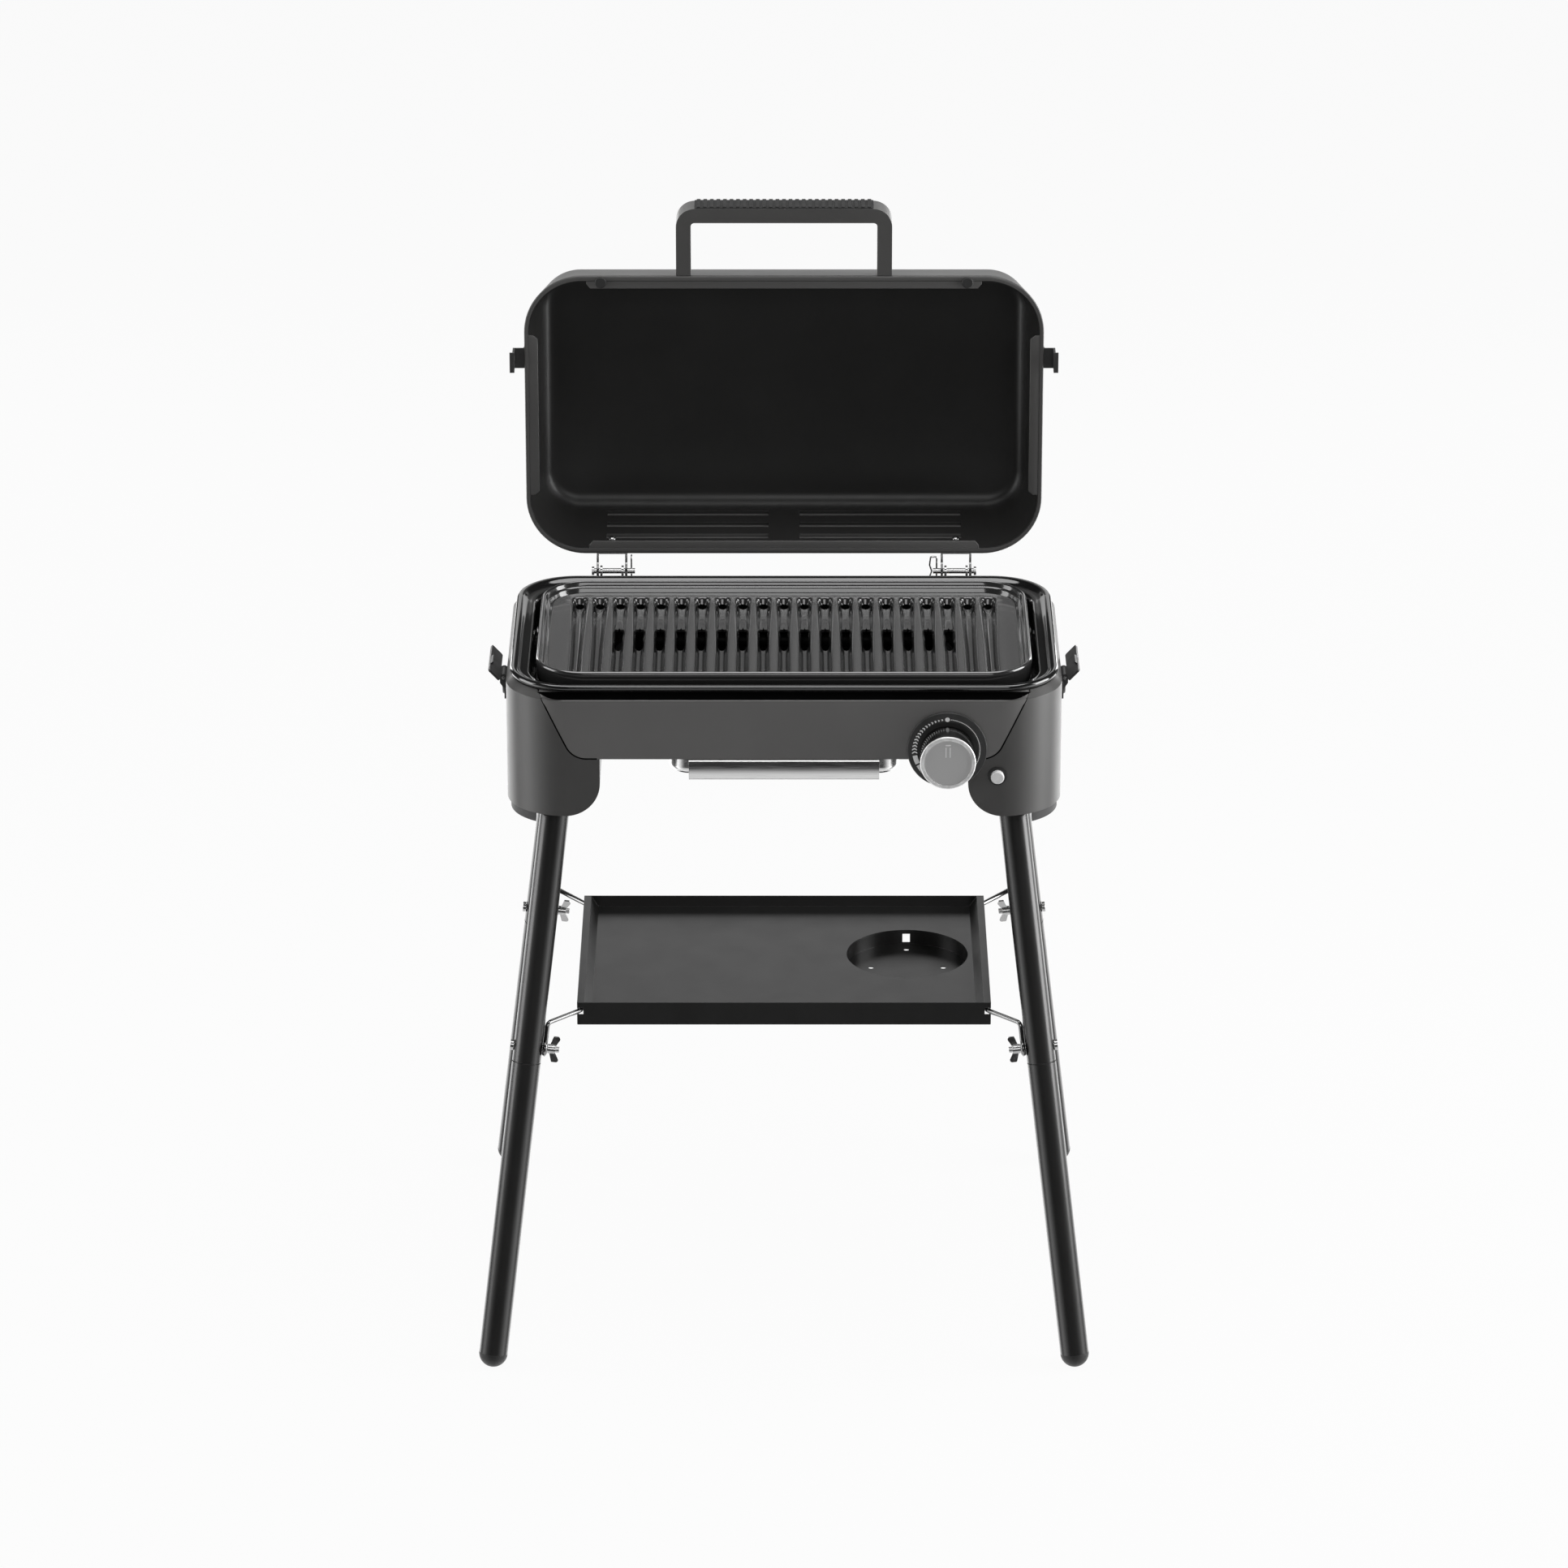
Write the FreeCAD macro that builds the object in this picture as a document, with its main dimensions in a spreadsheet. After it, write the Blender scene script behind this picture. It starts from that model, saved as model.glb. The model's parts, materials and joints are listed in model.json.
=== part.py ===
import FreeCAD, Part
import math
import os

import Sketcher

# Camp gas grill on four splayed legs, in millimetres.
# Frame: origin on the ground under the middle of the grill, +X to the cook's right, +Z up,
# and the cook stands on the -Y side.  The lid is drawn open, with its rim plane upright.

Vector = FreeCAD.Vector
Rotation = FreeCAD.Rotation
doc = FreeCAD.newDocument("CampGrill")
sheet = doc.addObject("Spreadsheet::Sheet", "Sizes")
nodes = {}


# ---------------------------------------------------------------- sizes

class Size:
    """A length or angle: its number, and the sheet expression that gives it."""

    def __init__(self, number, text):
        self.number = number
        self.text = text

    def __neg__(self):
        return Size(-self.number, f"(-{self.text})")

    def __add__(self, other):
        other = as_size(other)
        return Size(self.number + other.number, f"({self.text} + {other.text})")

    def __sub__(self, other):
        return self + -as_size(other)

    def __mul__(self, other):
        other = as_size(other)
        return Size(self.number * other.number, f"({self.text} * {other.text})")

    def __truediv__(self, other):
        other = as_size(other)
        return Size(self.number / other.number, f"({self.text} / {other.text})")

    def __radd__(self, other):
        return as_size(other) + self

    def __rsub__(self, other):
        return as_size(other) - self

    def __rmul__(self, other):
        return self * other


def as_size(value):
    if isinstance(value, Size):
        return value
    return Size(float(value), f"({float(value):.6f})")


def driving(name, number, note):
    """Adds one driving dimension to the sheet."""
    row = driving.row = getattr(driving, "row", 0) + 1
    sheet.set(f"A{row}", name)
    sheet.set(f"B{row}", str(number))
    sheet.setAlias(f"B{row}", name)
    sheet.set(f"C{row}", note)
    return Size(float(number), f"Sizes.{name}")


body_half_x = driving("body_half_x", 287, "half width of the body shell")
body_half_y = driving("body_half_y", 171, "half depth of the body shell")
body_corner = driving("body_corner", 64, "plan radius of the body's corners")
body_wall = driving("body_wall", 3, "thickness of the moulded body parts")
body_top = driving("body_top", 722, "height of the body's upper edge")
body_bevel = driving("body_bevel", 7, "bevel round the body's upper edge")
fascia_low = driving("fascia_low", 651, "height of the fascia's lower edge")
fascia_top_x = driving("fascia_top_x", 249, "half width of the fascia at the bevel")
fascia_low_x = driving("fascia_low_x", 217.5, "half width of the fascia at its lower edge")
fascia_corner = driving("fascia_corner", 23, "rounding of the fascia's lower corners")
seam_gap = driving("seam_gap", 0.6, "open seam between neighbouring body parts")
pod_low = driving("pod_low", 588, "height of the underside of the leg pods")
pod_inner_x = driving("pod_inner_x", 189.4, "inner face of the leg pods")
pod_inner_y = driving("pod_inner_y", 84, "face of the leg pods towards the middle of the side")
pod_corner = driving("pod_corner", 36, "rounding of the pods' lower corners")
arch_top = driving("arch_top", 640, "top of the arch in each side")

pan_half_x = driving("pan_half_x", 283, "half width of the drip pan's rim")
pan_half_y = driving("pan_half_y", 166, "half depth of the drip pan's rim")
pan_corner = driving("pan_corner", 62, "plan radius of the drip pan's rim")
pan_band = driving("pan_band", 20.5, "width of the drip pan's rim band")
pan_top = driving("pan_top", 729.5, "height of the crest of the drip pan's rim")
pan_depth = driving("pan_depth", 52, "depth of the drip pan below its crest")
pan_sheet = driving("pan_sheet", 1.5, "thickness of the drip pan's steel")

plate_half_x = driving("plate_half_x", 256.5, "half width of the cooking plate")
plate_half_y = driving("plate_half_y", 139, "half depth of the cooking plate")
plate_corner = driving("plate_corner", 50, "plan radius of the cooking plate")
plate_crest = driving("plate_crest", 734, "height of the cooking plate's raised rim")
plate_rib_top = driving("plate_rib_top", 722, "height of the cooking ribs")
plate_base = driving("plate_base", 709, "height of the underside of the cooking plate")
plate_groove_deep = driving("plate_groove_deep", 8.5, "depth of the grooves between the ribs")
plate_groove = driving("plate_groove", 11, "width of a groove between two ribs")
plate_pitch = driving("plate_pitch", 21.65, "distance from one groove to the next")
plate_rib_half_y = driving("plate_rib_half_y", 117, "half length of the ribs")

lid_half_x = driving("lid_half_x", 274.5, "half width of the lid at its rim")
lid_span = driving("lid_span", 311, "depth of the lid from its hinge side to its handle side")
lid_corner = driving("lid_corner", 63, "corner radius of the lid at its rim")
lid_deep = driving("lid_deep", 96, "height of the lid over its rim plane")
lid_draft = driving("lid_draft", 13, "draft of the lid's walls")
lid_sheet = driving("lid_sheet", 2.5, "thickness of the lid's wall")
lid_round = driving("lid_round", 20, "rounding between the lid's walls and its top")
lid_rim_y = driving("lid_rim_y", 175, "rim plane of the open lid")
lid_low = driving("lid_low", 750, "lower edge of the open lid")
hinge_y = driving("hinge_y", 174, "lid hinge axis, distance behind the middle")
hinge_z = driving("hinge_z", 731, "lid hinge axis, height")
hinge_x = driving("hinge_x", 183.8, "middle of each lid hinge")
hinge_pin_r = driving("hinge_pin_r", 3, "radius of the hinge pins")
running = driving("running", 0.05, "radial clearance of a running fit")

handle_half_x = driving("handle_half_x", 113.5, "half width of the lid handle")
handle_reach = driving("handle_reach", 73, "projection of the handle from the lid's front wall")
handle_bar = driving("handle_bar", 15.5, "thickness of the handle's bow")
handle_wide = driving("handle_wide", 30, "width of the handle's bow")

latch_y = driving("latch_y", -64, "middle of the two side latches")
latch_axis_x = driving("latch_axis_x", 290.8, "latch lever axis, distance from the middle")
latch_axis_z = driving("latch_axis_z", 705, "latch lever axis, height")
latch_lean = driving("latch_lean", 43, "lean of the open latch levers from upright")
flap_front = driving("flap_front", 29, "reach of a latch flap towards the cook")
flap_rear = driving("flap_rear", 44, "reach of a latch flap towards the back")
latch_base_low = driving("latch_base_low", 682, "lower edge of the latch bases")
keeper_wide = driving("keeper_wide", 22, "width of a latch keeper")

knob_x = driving("knob_x", 167.5, "control knob axis, right of the middle")
knob_z = driving("knob_z", 662.2, "control knob axis, height")
bezel_r = driving("bezel_r", 41, "radius of the dial behind the knob")
knob_r = driving("knob_r", 28.5, "radius of the control knob")
knob_front = driving("knob_front", -211, "front face of the control knob")
button_x = driving("button_x", 219.4, "igniter button axis, right of the middle")
button_z = driving("button_z", 632.6, "igniter button axis, height")
button_r = driving("button_r", 6.85, "radius of the igniter button")

drawer_half_x = driving("drawer_half_x", 119, "half width of the grease drawer")
drawer_low = driving("drawer_low", 625, "height of the grease drawer's underside")
drawer_top = driving("drawer_top", 650, "height of the grease drawer's edge")
drawer_front = driving("drawer_front", -150, "front wall of the grease drawer")
drawer_back = driving("drawer_back", 120, "rear wall of the grease drawer")

shelf_half_x = driving("shelf_half_x", 216.5, "half width of the lower shelf")
shelf_half_y = driving("shelf_half_y", 145, "half depth of the lower shelf")
shelf_lip = driving("shelf_lip", 367, "height of the shelf's upper edge")
shelf_floor = driving("shelf_floor", 355, "height of the shelf's floor")
shelf_skirt = driving("shelf_skirt", 342, "lower edge of the shelf's front and rear skirts")
shelf_sheet = driving("shelf_sheet", 1.5, "thickness of the shelf's steel")
cup_x = driving("cup_x", 131.5, "cartridge cup, right of the middle")
cup_y = driving("cup_y", 13, "cartridge cup, behind the middle")
cup_r = driving("cup_r", 64.7, "inner radius of the cartridge cup")
cup_deep = driving("cup_deep", 16, "depth of the cartridge cup")

foot_x = driving("foot_x", 305, "centre of a foot, sideways")
foot_y = driving("foot_y", 256, "centre of a foot, front to back")
leg_r = driving("leg_r", 15, "outside radius of the leg tubes")
leg_wall = driving("leg_wall", 1.5, "wall of the leg tubes")
leg_lean_x = driving("leg_lean_x", 0.12, "sideways lean of the legs, per unit of height")
leg_lean_y = driving("leg_lean_y", 0.22, "front to back lean of the legs, per unit of height")
leg_joint = driving("leg_joint", 314, "distance along a leg from its foot centre to the seam")
leg_long = driving("leg_long", 622, "distance along a leg from its foot centre to its top")
bolt_rise = driving("bolt_rise", 330, "distance along a leg from its foot centre to the shelf bolt")
wire_r = driving("wire_r", 2.5, "radius of the shelf's support wires")

burner_r = driving("burner_r", 8, "radius of the burner tube")
burner_half_x = driving("burner_half_x", 170, "half width of the burner loop")
burner_half_y = driving("burner_half_y", 70, "half depth of the burner loop")
burner_z = driving("burner_z", 692, "height of the burner loop")
feed_x = driving("feed_x", 100, "burner inlet, right of the middle")
feed_y = driving("feed_y", -70, "burner inlet, behind the middle")
electrode_x = driving("electrode_x", 140, "spark electrode, right of the middle")
electrode_y = driving("electrode_y", -50, "spark electrode, behind the middle")


# ---------------------------------------------------------------- modelling helpers

def bind(obj, prop, value):
    """Ties one property of an object to the sheet."""
    obj.setExpression(prop, as_size(value).text)


def new_body(label):
    body = doc.addObject("PartDesign::Body", label)
    body.Label = label
    return body


def keep(label, obj):
    """Registers an object as the finished sub-part of that name."""
    obj.Label = label
    nodes[label] = obj
    return obj


def sketch_on(body, plane, offset=0):
    sketch = body.newObject("Sketcher::SketchObject", "Outline")
    support = [item for item in body.Origin.OriginFeatures if item.Role == plane + "_Plane"][0]
    sketch.AttachmentSupport = [(support, "")]
    sketch.MapMode = "FlatFace"
    bind(sketch, "AttachmentOffset.Base.z", offset)
    return sketch


def hold(sketch, kind, number, *where):
    """Adds one dimension to a sketch and ties it to the sheet."""
    index = sketch.addConstraint(Sketcher.Constraint(kind, *where, as_size(number).number))
    sketch.setExpression(f"Constraints[{index}]", as_size(number).text)


def round_corner(before, corner, after, radius):
    """Where a rounding of that radius leaves the two sides of a corner, and its centre."""
    to_before = (before - corner).normalize()
    to_after = (after - corner).normalize()
    half = to_before.getAngle(to_after) / 2
    reach = radius / math.tan(half)
    middle = corner + (to_before + to_after).normalize() * (radius / math.sin(half))
    turns_left = to_before.cross(to_after).z < 0
    return corner + to_before * reach, corner + to_after * reach, middle, turns_left


def arc_between(start, end, middle):
    first = math.atan2(start.y - middle.y, start.x - middle.x)
    last = math.atan2(end.y - middle.y, end.x - middle.x)
    if last < first:
        last += 2 * math.pi
    circle = Part.Circle(middle, Vector(0, 0, 1), (start - middle).Length)
    return Part.ArcOfCircle(circle, first, last)


def outline(sketch, corners):
    """A closed outline of straight lines; a corner is (x, y), or (x, y, radius) when rounded."""
    points = [Vector(as_size(item[0]).number, as_size(item[1]).number, 0) for item in corners]
    count = len(points)
    enter, leave, arcs = list(points), list(points), {}
    for i, item in enumerate(corners):
        if len(item) == 2:
            continue
        radius = as_size(item[2]).number
        enter[i], leave[i], middle, left = round_corner(
            points[i - 1], points[i], points[(i + 1) % count], radius)
        ends = (enter[i], leave[i]) if left else (leave[i], enter[i])
        arcs[i] = (arc_between(*ends, middle), (1, 2) if left else (2, 1))
    lines = [sketch.addGeometry(Part.LineSegment(leave[i], enter[(i + 1) % count]), False)
             for i in range(count)]
    for i, item in enumerate(corners):
        if i in arcs:
            arc = sketch.addGeometry(arcs[i][0], False)
            first, last = arcs[i][1]
            mark = sketch.addGeometry(Part.Point(points[i]), True)
            sketch.addConstraint(Sketcher.Constraint("Tangent", lines[i - 1], 2, arc, first))
            sketch.addConstraint(Sketcher.Constraint("Tangent", arc, last, lines[i], 1))
            sketch.addConstraint(Sketcher.Constraint("PointOnObject", mark, 1, lines[i - 1]))
            sketch.addConstraint(Sketcher.Constraint("PointOnObject", mark, 1, lines[i]))
            hold(sketch, "Radius", item[2], arc)
        else:
            mark = lines[i]
            sketch.addConstraint(Sketcher.Constraint("Coincident", lines[i - 1], 2, mark, 1))
        hold(sketch, "DistanceX", item[0], -1, 1, mark, 1)
        hold(sketch, "DistanceY", item[1], -1, 1, mark, 1)


def circle(sketch, x, y, radius):
    centre = Vector(as_size(x).number, as_size(y).number, 0)
    index = sketch.addGeometry(Part.Circle(centre, Vector(0, 0, 1), as_size(radius).number), False)
    hold(sketch, "Radius", radius, index)
    hold(sketch, "DistanceX", x, -1, 1, index, 3)
    hold(sketch, "DistanceY", y, -1, 1, index, 3)


def draw(sketch, shapes):
    """Draws every shape of a sketch: ("circle", x, y, r), or a list of corners."""
    for shape in shapes:
        if shape[0] == "circle":
            circle(sketch, *shape[1:])
        else:
            outline(sketch, shape)


def box(low_x, low_y, high_x, high_y, radius=None):
    corners = [(low_x, low_y), (high_x, low_y), (high_x, high_y), (low_x, high_y)]
    if radius is None:
        return corners
    return [(x, y, radius) for x, y in corners]


def rectangle(half_x, half_y, radius=None):
    half_x, half_y = as_size(half_x), as_size(half_y)
    return box(-half_x, -half_y, half_x, half_y, radius)


def add(body, plane, low, high, *shapes, taper=None):
    """Adds material between two heights over a plane of the body.

    The XZ plane looks towards -Y, so its heights are Y values and are measured the other way.
    """
    low, high = as_size(low), as_size(high)
    sketch = sketch_on(body, plane, -low if plane == "XZ" else low)
    draw(sketch, shapes)
    pad = body.newObject("PartDesign::Pad", "Pad")
    pad.Profile = sketch
    pad.Reversed = plane == "XZ"
    bind(pad, "Length", high - low)
    if taper is not None:
        bind(pad, "TaperAngle", -taper)
    sketch.Visibility = False
    doc.recompute()
    return pad


def cut(body, plane, low, high, *shapes, taper=None):
    """Removes material between two heights over a plane of the body; it must remove some."""
    low, high = as_size(low), as_size(high)
    before = body.Shape.Volume
    sketch = sketch_on(body, plane, -low if plane == "XZ" else low)
    draw(sketch, shapes)
    pocket = body.newObject("PartDesign::Pocket", "Pocket")
    pocket.Profile = sketch
    pocket.Reversed = plane != "XZ"
    bind(pocket, "Length", high - low)
    if taper is not None:
        bind(pocket, "TaperAngle", -taper)
    doc.recompute()
    if not body.Shape.Volume < before - 1e-6:
        raise RuntimeError(f"a pocket of {body.Label} removes nothing")
    return pocket


def turn(body, *corners, groove=False):
    """Turns a half outline, in the body's own XZ plane, about its Z axis."""
    sketch = sketch_on(body, "XZ")
    draw(sketch, [list(corners)])
    kind = "PartDesign::Groove" if groove else "PartDesign::Revolution"
    feature = body.newObject(kind, "Turned")
    feature.Profile = sketch
    feature.ReferenceAxis = (sketch, ["V_Axis"])
    feature.Angle = 360
    doc.recompute()
    return feature


def place(obj, x, y, z, rotation=None):
    """Puts an object at a point given by the sheet, with a fixed turn."""
    obj.Placement = FreeCAD.Placement(Vector(0, 0, 0), rotation or Rotation())
    for axis, value in zip("xyz", (x, y, z)):
        bind(obj, "Placement.Base." + axis, value)
    return obj


def edges_where(body, test):
    """Names of the body's edges whose bounding box passes a test."""
    return [f"Edge{i + 1}" for i, edge in enumerate(body.Shape.Edges) if test(edge.BoundBox)]


def round_edges(body, radius, test, kind="Fillet"):
    names = edges_where(body, test)
    if not names:
        raise RuntimeError(f"{body.Label} has no edge to round")
    tip = body.Tip
    feature = body.newObject("PartDesign::" + kind, kind)
    feature.Base = (tip, names)
    bind(feature, "Radius" if kind == "Fillet" else "Size", radius)
    doc.recompute()
    return feature


def repeat(body, features, plane_axis, step, count):
    """Repeats features along one of the body's own axes."""
    pattern = body.newObject("PartDesign::LinearPattern", "Row")
    pattern.Originals = features
    axis = [item for item in body.Origin.OriginFeatures if item.Role == plane_axis + "_Axis"][0]
    pattern.Direction = (axis, [""])
    bind(pattern, "Length", step * (count - 1))
    pattern.Occurrences = count
    body.Tip = pattern
    doc.recompute()
    return pattern


def mirror_copy(label, source, normal):
    """The mirror image of a sub-part in a plane through the origin."""
    mirror = doc.addObject("Part::Mirroring", label)
    mirror.Source = source
    mirror.Normal = normal
    return keep(label, mirror)


def group(label, members):
    """One node that holds several separate solids."""
    compound = doc.addObject("Part::Compound", label)
    compound.Links = members
    return keep(label, compound)


def four_ways(label, source):
    """A piece and its images in the other three quarters, as one node."""
    right = doc.addObject("Part::Mirroring", label + "_side")
    right.Source = source
    right.Normal = Vector(1, 0, 0)
    front = doc.addObject("Part::Compound", label + "_front")
    front.Links = [source, right]
    rear = doc.addObject("Part::Mirroring", label + "_rear")
    rear.Source = front
    rear.Normal = Vector(0, 1, 0)
    return group(label, [source, right, rear])


def two_ways(label, source, normal):
    """A piece and its mirror image, as one node."""
    other = doc.addObject("Part::Mirroring", label + "_other")
    other.Source = source
    other.Normal = normal
    return group(label, [source, other])


# ---------------------------------------------------------------- body shell

TOWARDS_COOK = Rotation(Vector(1, 0, 0), 90)     # turns a body's own Z axis to -Y
TOWARDS_BACK = Rotation(Vector(1, 0, 0), -90)    # turns a body's own Z axis to +Y
TOWARDS_RIGHT = Rotation(Vector(0, 1, 0), 90)    # turns a body's own Z axis to +X


def footprint(inset):
    return rectangle(body_half_x - inset, body_half_y - inset, body_corner - inset)


def shell_ring(body, low):
    """The closed ring of wall that the body parts are cut from, with its bevel and flange."""
    add(body, "XY", low, body_top, footprint(0))
    round_edges(body, body_bevel, lambda b: b.ZMin > body_top.number - 0.01, "Chamfer")
    cut(body, "XY", low, body_top - body_bevel - body_wall, footprint(body_wall))
    cut(body, "XY", body_top - body_bevel - body_wall, body_top, footprint(body_bevel + 6))


def fascia_outline(gap):
    """The trapezoid that the front panel fills, up past the bevel."""
    slope = (fascia_top_x - fascia_low_x) / (body_top - body_bevel - fascia_low)
    top = body_top + 10
    top_x = fascia_low_x + slope * (top - fascia_low) - gap
    low_x = fascia_low_x - gap
    return [(-low_x, fascia_low, fascia_corner), (low_x, fascia_low, fascia_corner), (top_x, top),
            (-top_x, top)]


def outside_of(shape, half_x, low_z, high_z):
    """A large frame round an outline, for trimming away what lies outside it."""
    return [(-half_x, low_z), (half_x, low_z), (half_x, high_z), (-half_x, high_z)], shape


def build_fascia(label, front):
    """Front or rear panel; the front one has a hole for the valve, the rear one for the hose."""
    body = new_body(label)
    shell_ring(body, fascia_low)
    reach = body_half_x + 10
    low_y, high_y = (-body_corner, body_half_y + 1) if front else (-body_half_y - 1, body_corner)
    cut(body, "XY", fascia_low - 1, body_top + 1, box(-reach, low_y, reach, high_y))
    near, far = (-body_half_y - 1, -body_corner + 1) if front else (body_corner - 1, body_half_y + 1)
    cut(body, "XZ", near, far,
        *outside_of(fascia_outline(seam_gap), reach, fascia_low - 5, body_top + 20))
    cut(body, "XZ", near, far, ("circle", knob_x, knob_z, 8))
    keep(label, body)


def build_pod(body, side):
    """Closes one leg pod with inner walls and a floor, and rounds its lower inner corner."""
    wall = body_wall
    middle = side * pod_inner_y
    low_y, high_y = (-body_half_y, middle) if side < 0 else (middle, body_half_y)
    liner_top = fascia_low - 0.5
    add(body, "XZ", low_y, high_y,
        [(pod_inner_x, liner_top), (pod_inner_x, pod_low, pod_corner), (body_half_x - 1, pod_low),
         (body_half_x - 1, pod_low + wall), (pod_inner_x + wall, pod_low + wall, pod_corner - wall),
         (pod_inner_x + wall, liner_top)])
    face_low, face_high = (middle - wall, middle) if side < 0 else (middle, middle + wall)
    add(body, "XZ", face_low, face_high,
        [(pod_inner_x, liner_top), (pod_inner_x, pod_low, pod_corner), (body_half_x - 1, pod_low),
         (body_half_x - 1, liner_top)])


def build_end_shells():
    """End mouldings: a side wall with its arch, and a hollow leg pod front and rear."""
    body = new_body("end_shell")
    shell_ring(body, pod_low)
    reach = body_half_x + 20
    cut(body, "XY", pod_low - 1, body_top + 1, box(-reach, -reach, pod_inner_x, reach))
    for low, high in ((-body_half_y - 1, -body_corner), (body_corner, body_half_y + 1)):
        cut(body, "XZ", low, high, fascia_outline(0))
    cut(body, "YZ", pod_inner_x - 1, body_half_x + 1,
        [(-pod_inner_y, pod_low - 1), (pod_inner_y, pod_low - 1),
         (pod_inner_y, arch_top, 30), (-pod_inner_y, arch_top, 30)])
    for side in (-1, 1):
        build_pod(body, side)
    plan = rectangle(reach, reach)
    cut(body, "XY", pod_low - 1, fascia_low, plan, footprint(0))
    cut(body, "XZ", -reach, reach,
        [(pod_inner_x - 5, pod_low - 5), (pod_inner_x + pod_corner + 2, pod_low - 5),
         (pod_inner_x + pod_corner + 2, pod_low), (pod_inner_x, pod_low, pod_corner),
         (pod_inner_x, pod_low + pod_corner + 2), (pod_inner_x - 5, pod_low + pod_corner + 2)])
    for side in (-1, 1):
        x, y = leg_plan(pod_low)
        cut(body, "XY", pod_low - 1, pod_low + body_wall + 1, ("circle", x, side * y, leg_r + 3))
    mirror_copy("left_end_shell", body, Vector(1, 0, 0))
    bore = turned("button_bore", (0, 0), (button_r + 3, 0), (button_r + 3, body_wall + 2),
                  (0, body_wall + 2))
    place(bore, button_x, -body_half_y - 1, button_z, TOWARDS_BACK)
    pierced = doc.addObject("Part::Cut", "right_end_shell")
    pierced.Base = body
    pierced.Tool = bore
    keep("right_end_shell", pierced)


def leg_plan(height):
    """Where a leg's axis is in plan at a height, in the quarter where both are positive."""
    rise = as_size(height) - leg_r
    return foot_x - leg_lean_x * rise, foot_y - leg_lean_y * rise


def build_pod_feet():
    """Curved blocks under the outer side of each pod, for standing on a table without legs."""
    body = new_body("pod_foot")
    block = body_half_x - 31
    add(body, "XY", pod_low - 11, pod_low, footprint(3.5), footprint(15))
    reach = body_half_x + 20
    cut(body, "XY", pod_low - 12, pod_low + 1, box(-reach, -reach, block, reach))
    cut(body, "XY", pod_low - 12, pod_low + 1, box(block - 1, -pod_inner_y, reach, reach))
    four_ways("pod_feet", body)


# ---------------------------------------------------------------- pan and cooking plate

def pan_plan(inset):
    return rectangle(pan_half_x - inset, pan_half_y - inset, pan_corner - inset)


def build_drip_pan():
    """Enamelled steel pan: a rim band that sits on the body, and a tub with a drain."""
    body = new_body("drip_pan")
    floor = pan_top - pan_depth
    add(body, "XY", body_top, pan_top, pan_plan(0), pan_plan(pan_band))
    round_edges(body, 3.4, lambda b: b.ZMin > pan_top.number - 0.01)
    cut(body, "XY", body_top, pan_top - pan_sheet, pan_plan(5), pan_plan(pan_band - pan_sheet))
    add(body, "XY", body_top, pan_top - pan_sheet, pan_plan(4), pan_plan(8))
    add(body, "XY", floor, pan_top - 3.5, pan_plan(pan_band - pan_sheet), pan_plan(pan_band))
    add(body, "XY", floor, floor + pan_sheet, pan_plan(pan_band - pan_sheet))
    inner_x = pan_half_x - pan_band + 0.5
    for side in (-1, 1):
        for low_y in (-70, 50):
            low_x, high_x = (-inner_x, -inner_x + 12) if side < 0 else (inner_x - 12, inner_x)
            add(body, "XY", plate_base - 8, plate_base, box(low_x, low_y, high_x, low_y + 20))
    cut(body, "XY", floor - 1, floor + pan_sheet + 1, ("circle", 0, 0, 15),
        ("circle", feed_x, feed_y, burner_r + 1), ("circle", electrode_x, electrode_y, 4.2))
    keep("drip_pan", body)


def build_cooking_plate():
    """Cast plate with raised ribs, grooves between them, drain slots and a raised rim."""
    body = new_body("cooking_plate")
    floor = plate_rib_top - plate_groove_deep
    inner = 12
    add(body, "XY", plate_base, plate_crest, rectangle(plate_half_x, plate_half_y, plate_corner))
    cut(body, "XY", plate_rib_top - 1.5, plate_crest,
        rectangle(plate_half_x - 5, plate_half_y - 5, plate_corner - 5))
    round_edges(body, 2, lambda b: b.ZMin > plate_crest.number - 0.01)
    half = plate_groove / 2
    first = -10 * plate_pitch
    groove = cut(body, "XY", floor, plate_rib_top,
                 box(first - half, -plate_rib_half_y - inner, first + half,
                     plate_rib_half_y + inner, 5.4))
    repeat(body, [groove], "X", plate_pitch, 21)
    rear = cut(body, "XY", plate_base - 1, floor + 1,
               box(first - half + 1, plate_rib_half_y - 14, first + half - 1,
                   plate_rib_half_y + 6, 4))
    front = cut(body, "XY", plate_base - 1, floor + 1,
                ("circle", first, -plate_rib_half_y - 4, 3.5))
    repeat(body, [rear, front], "X", plate_pitch, 21)
    first = -8 * plate_pitch
    slot = cut(body, "XY", plate_base - 1, floor + 1,
               box(first - half + 1, -24, first + half - 1, 45, 4))
    repeat(body, [slot], "X", plate_pitch, 17)
    low = (-10.5 * plate_pitch) - 2
    under = cut(body, "XY", plate_base - 1, plate_rib_top - 4,
                box(low, -plate_rib_half_y + 6, low + 4, plate_rib_half_y - 6, 1.9))
    repeat(body, [under], "X", plate_pitch, 22)
    keep("cooking_plate", body)


# ---------------------------------------------------------------- burner, gas and ignition


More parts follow.
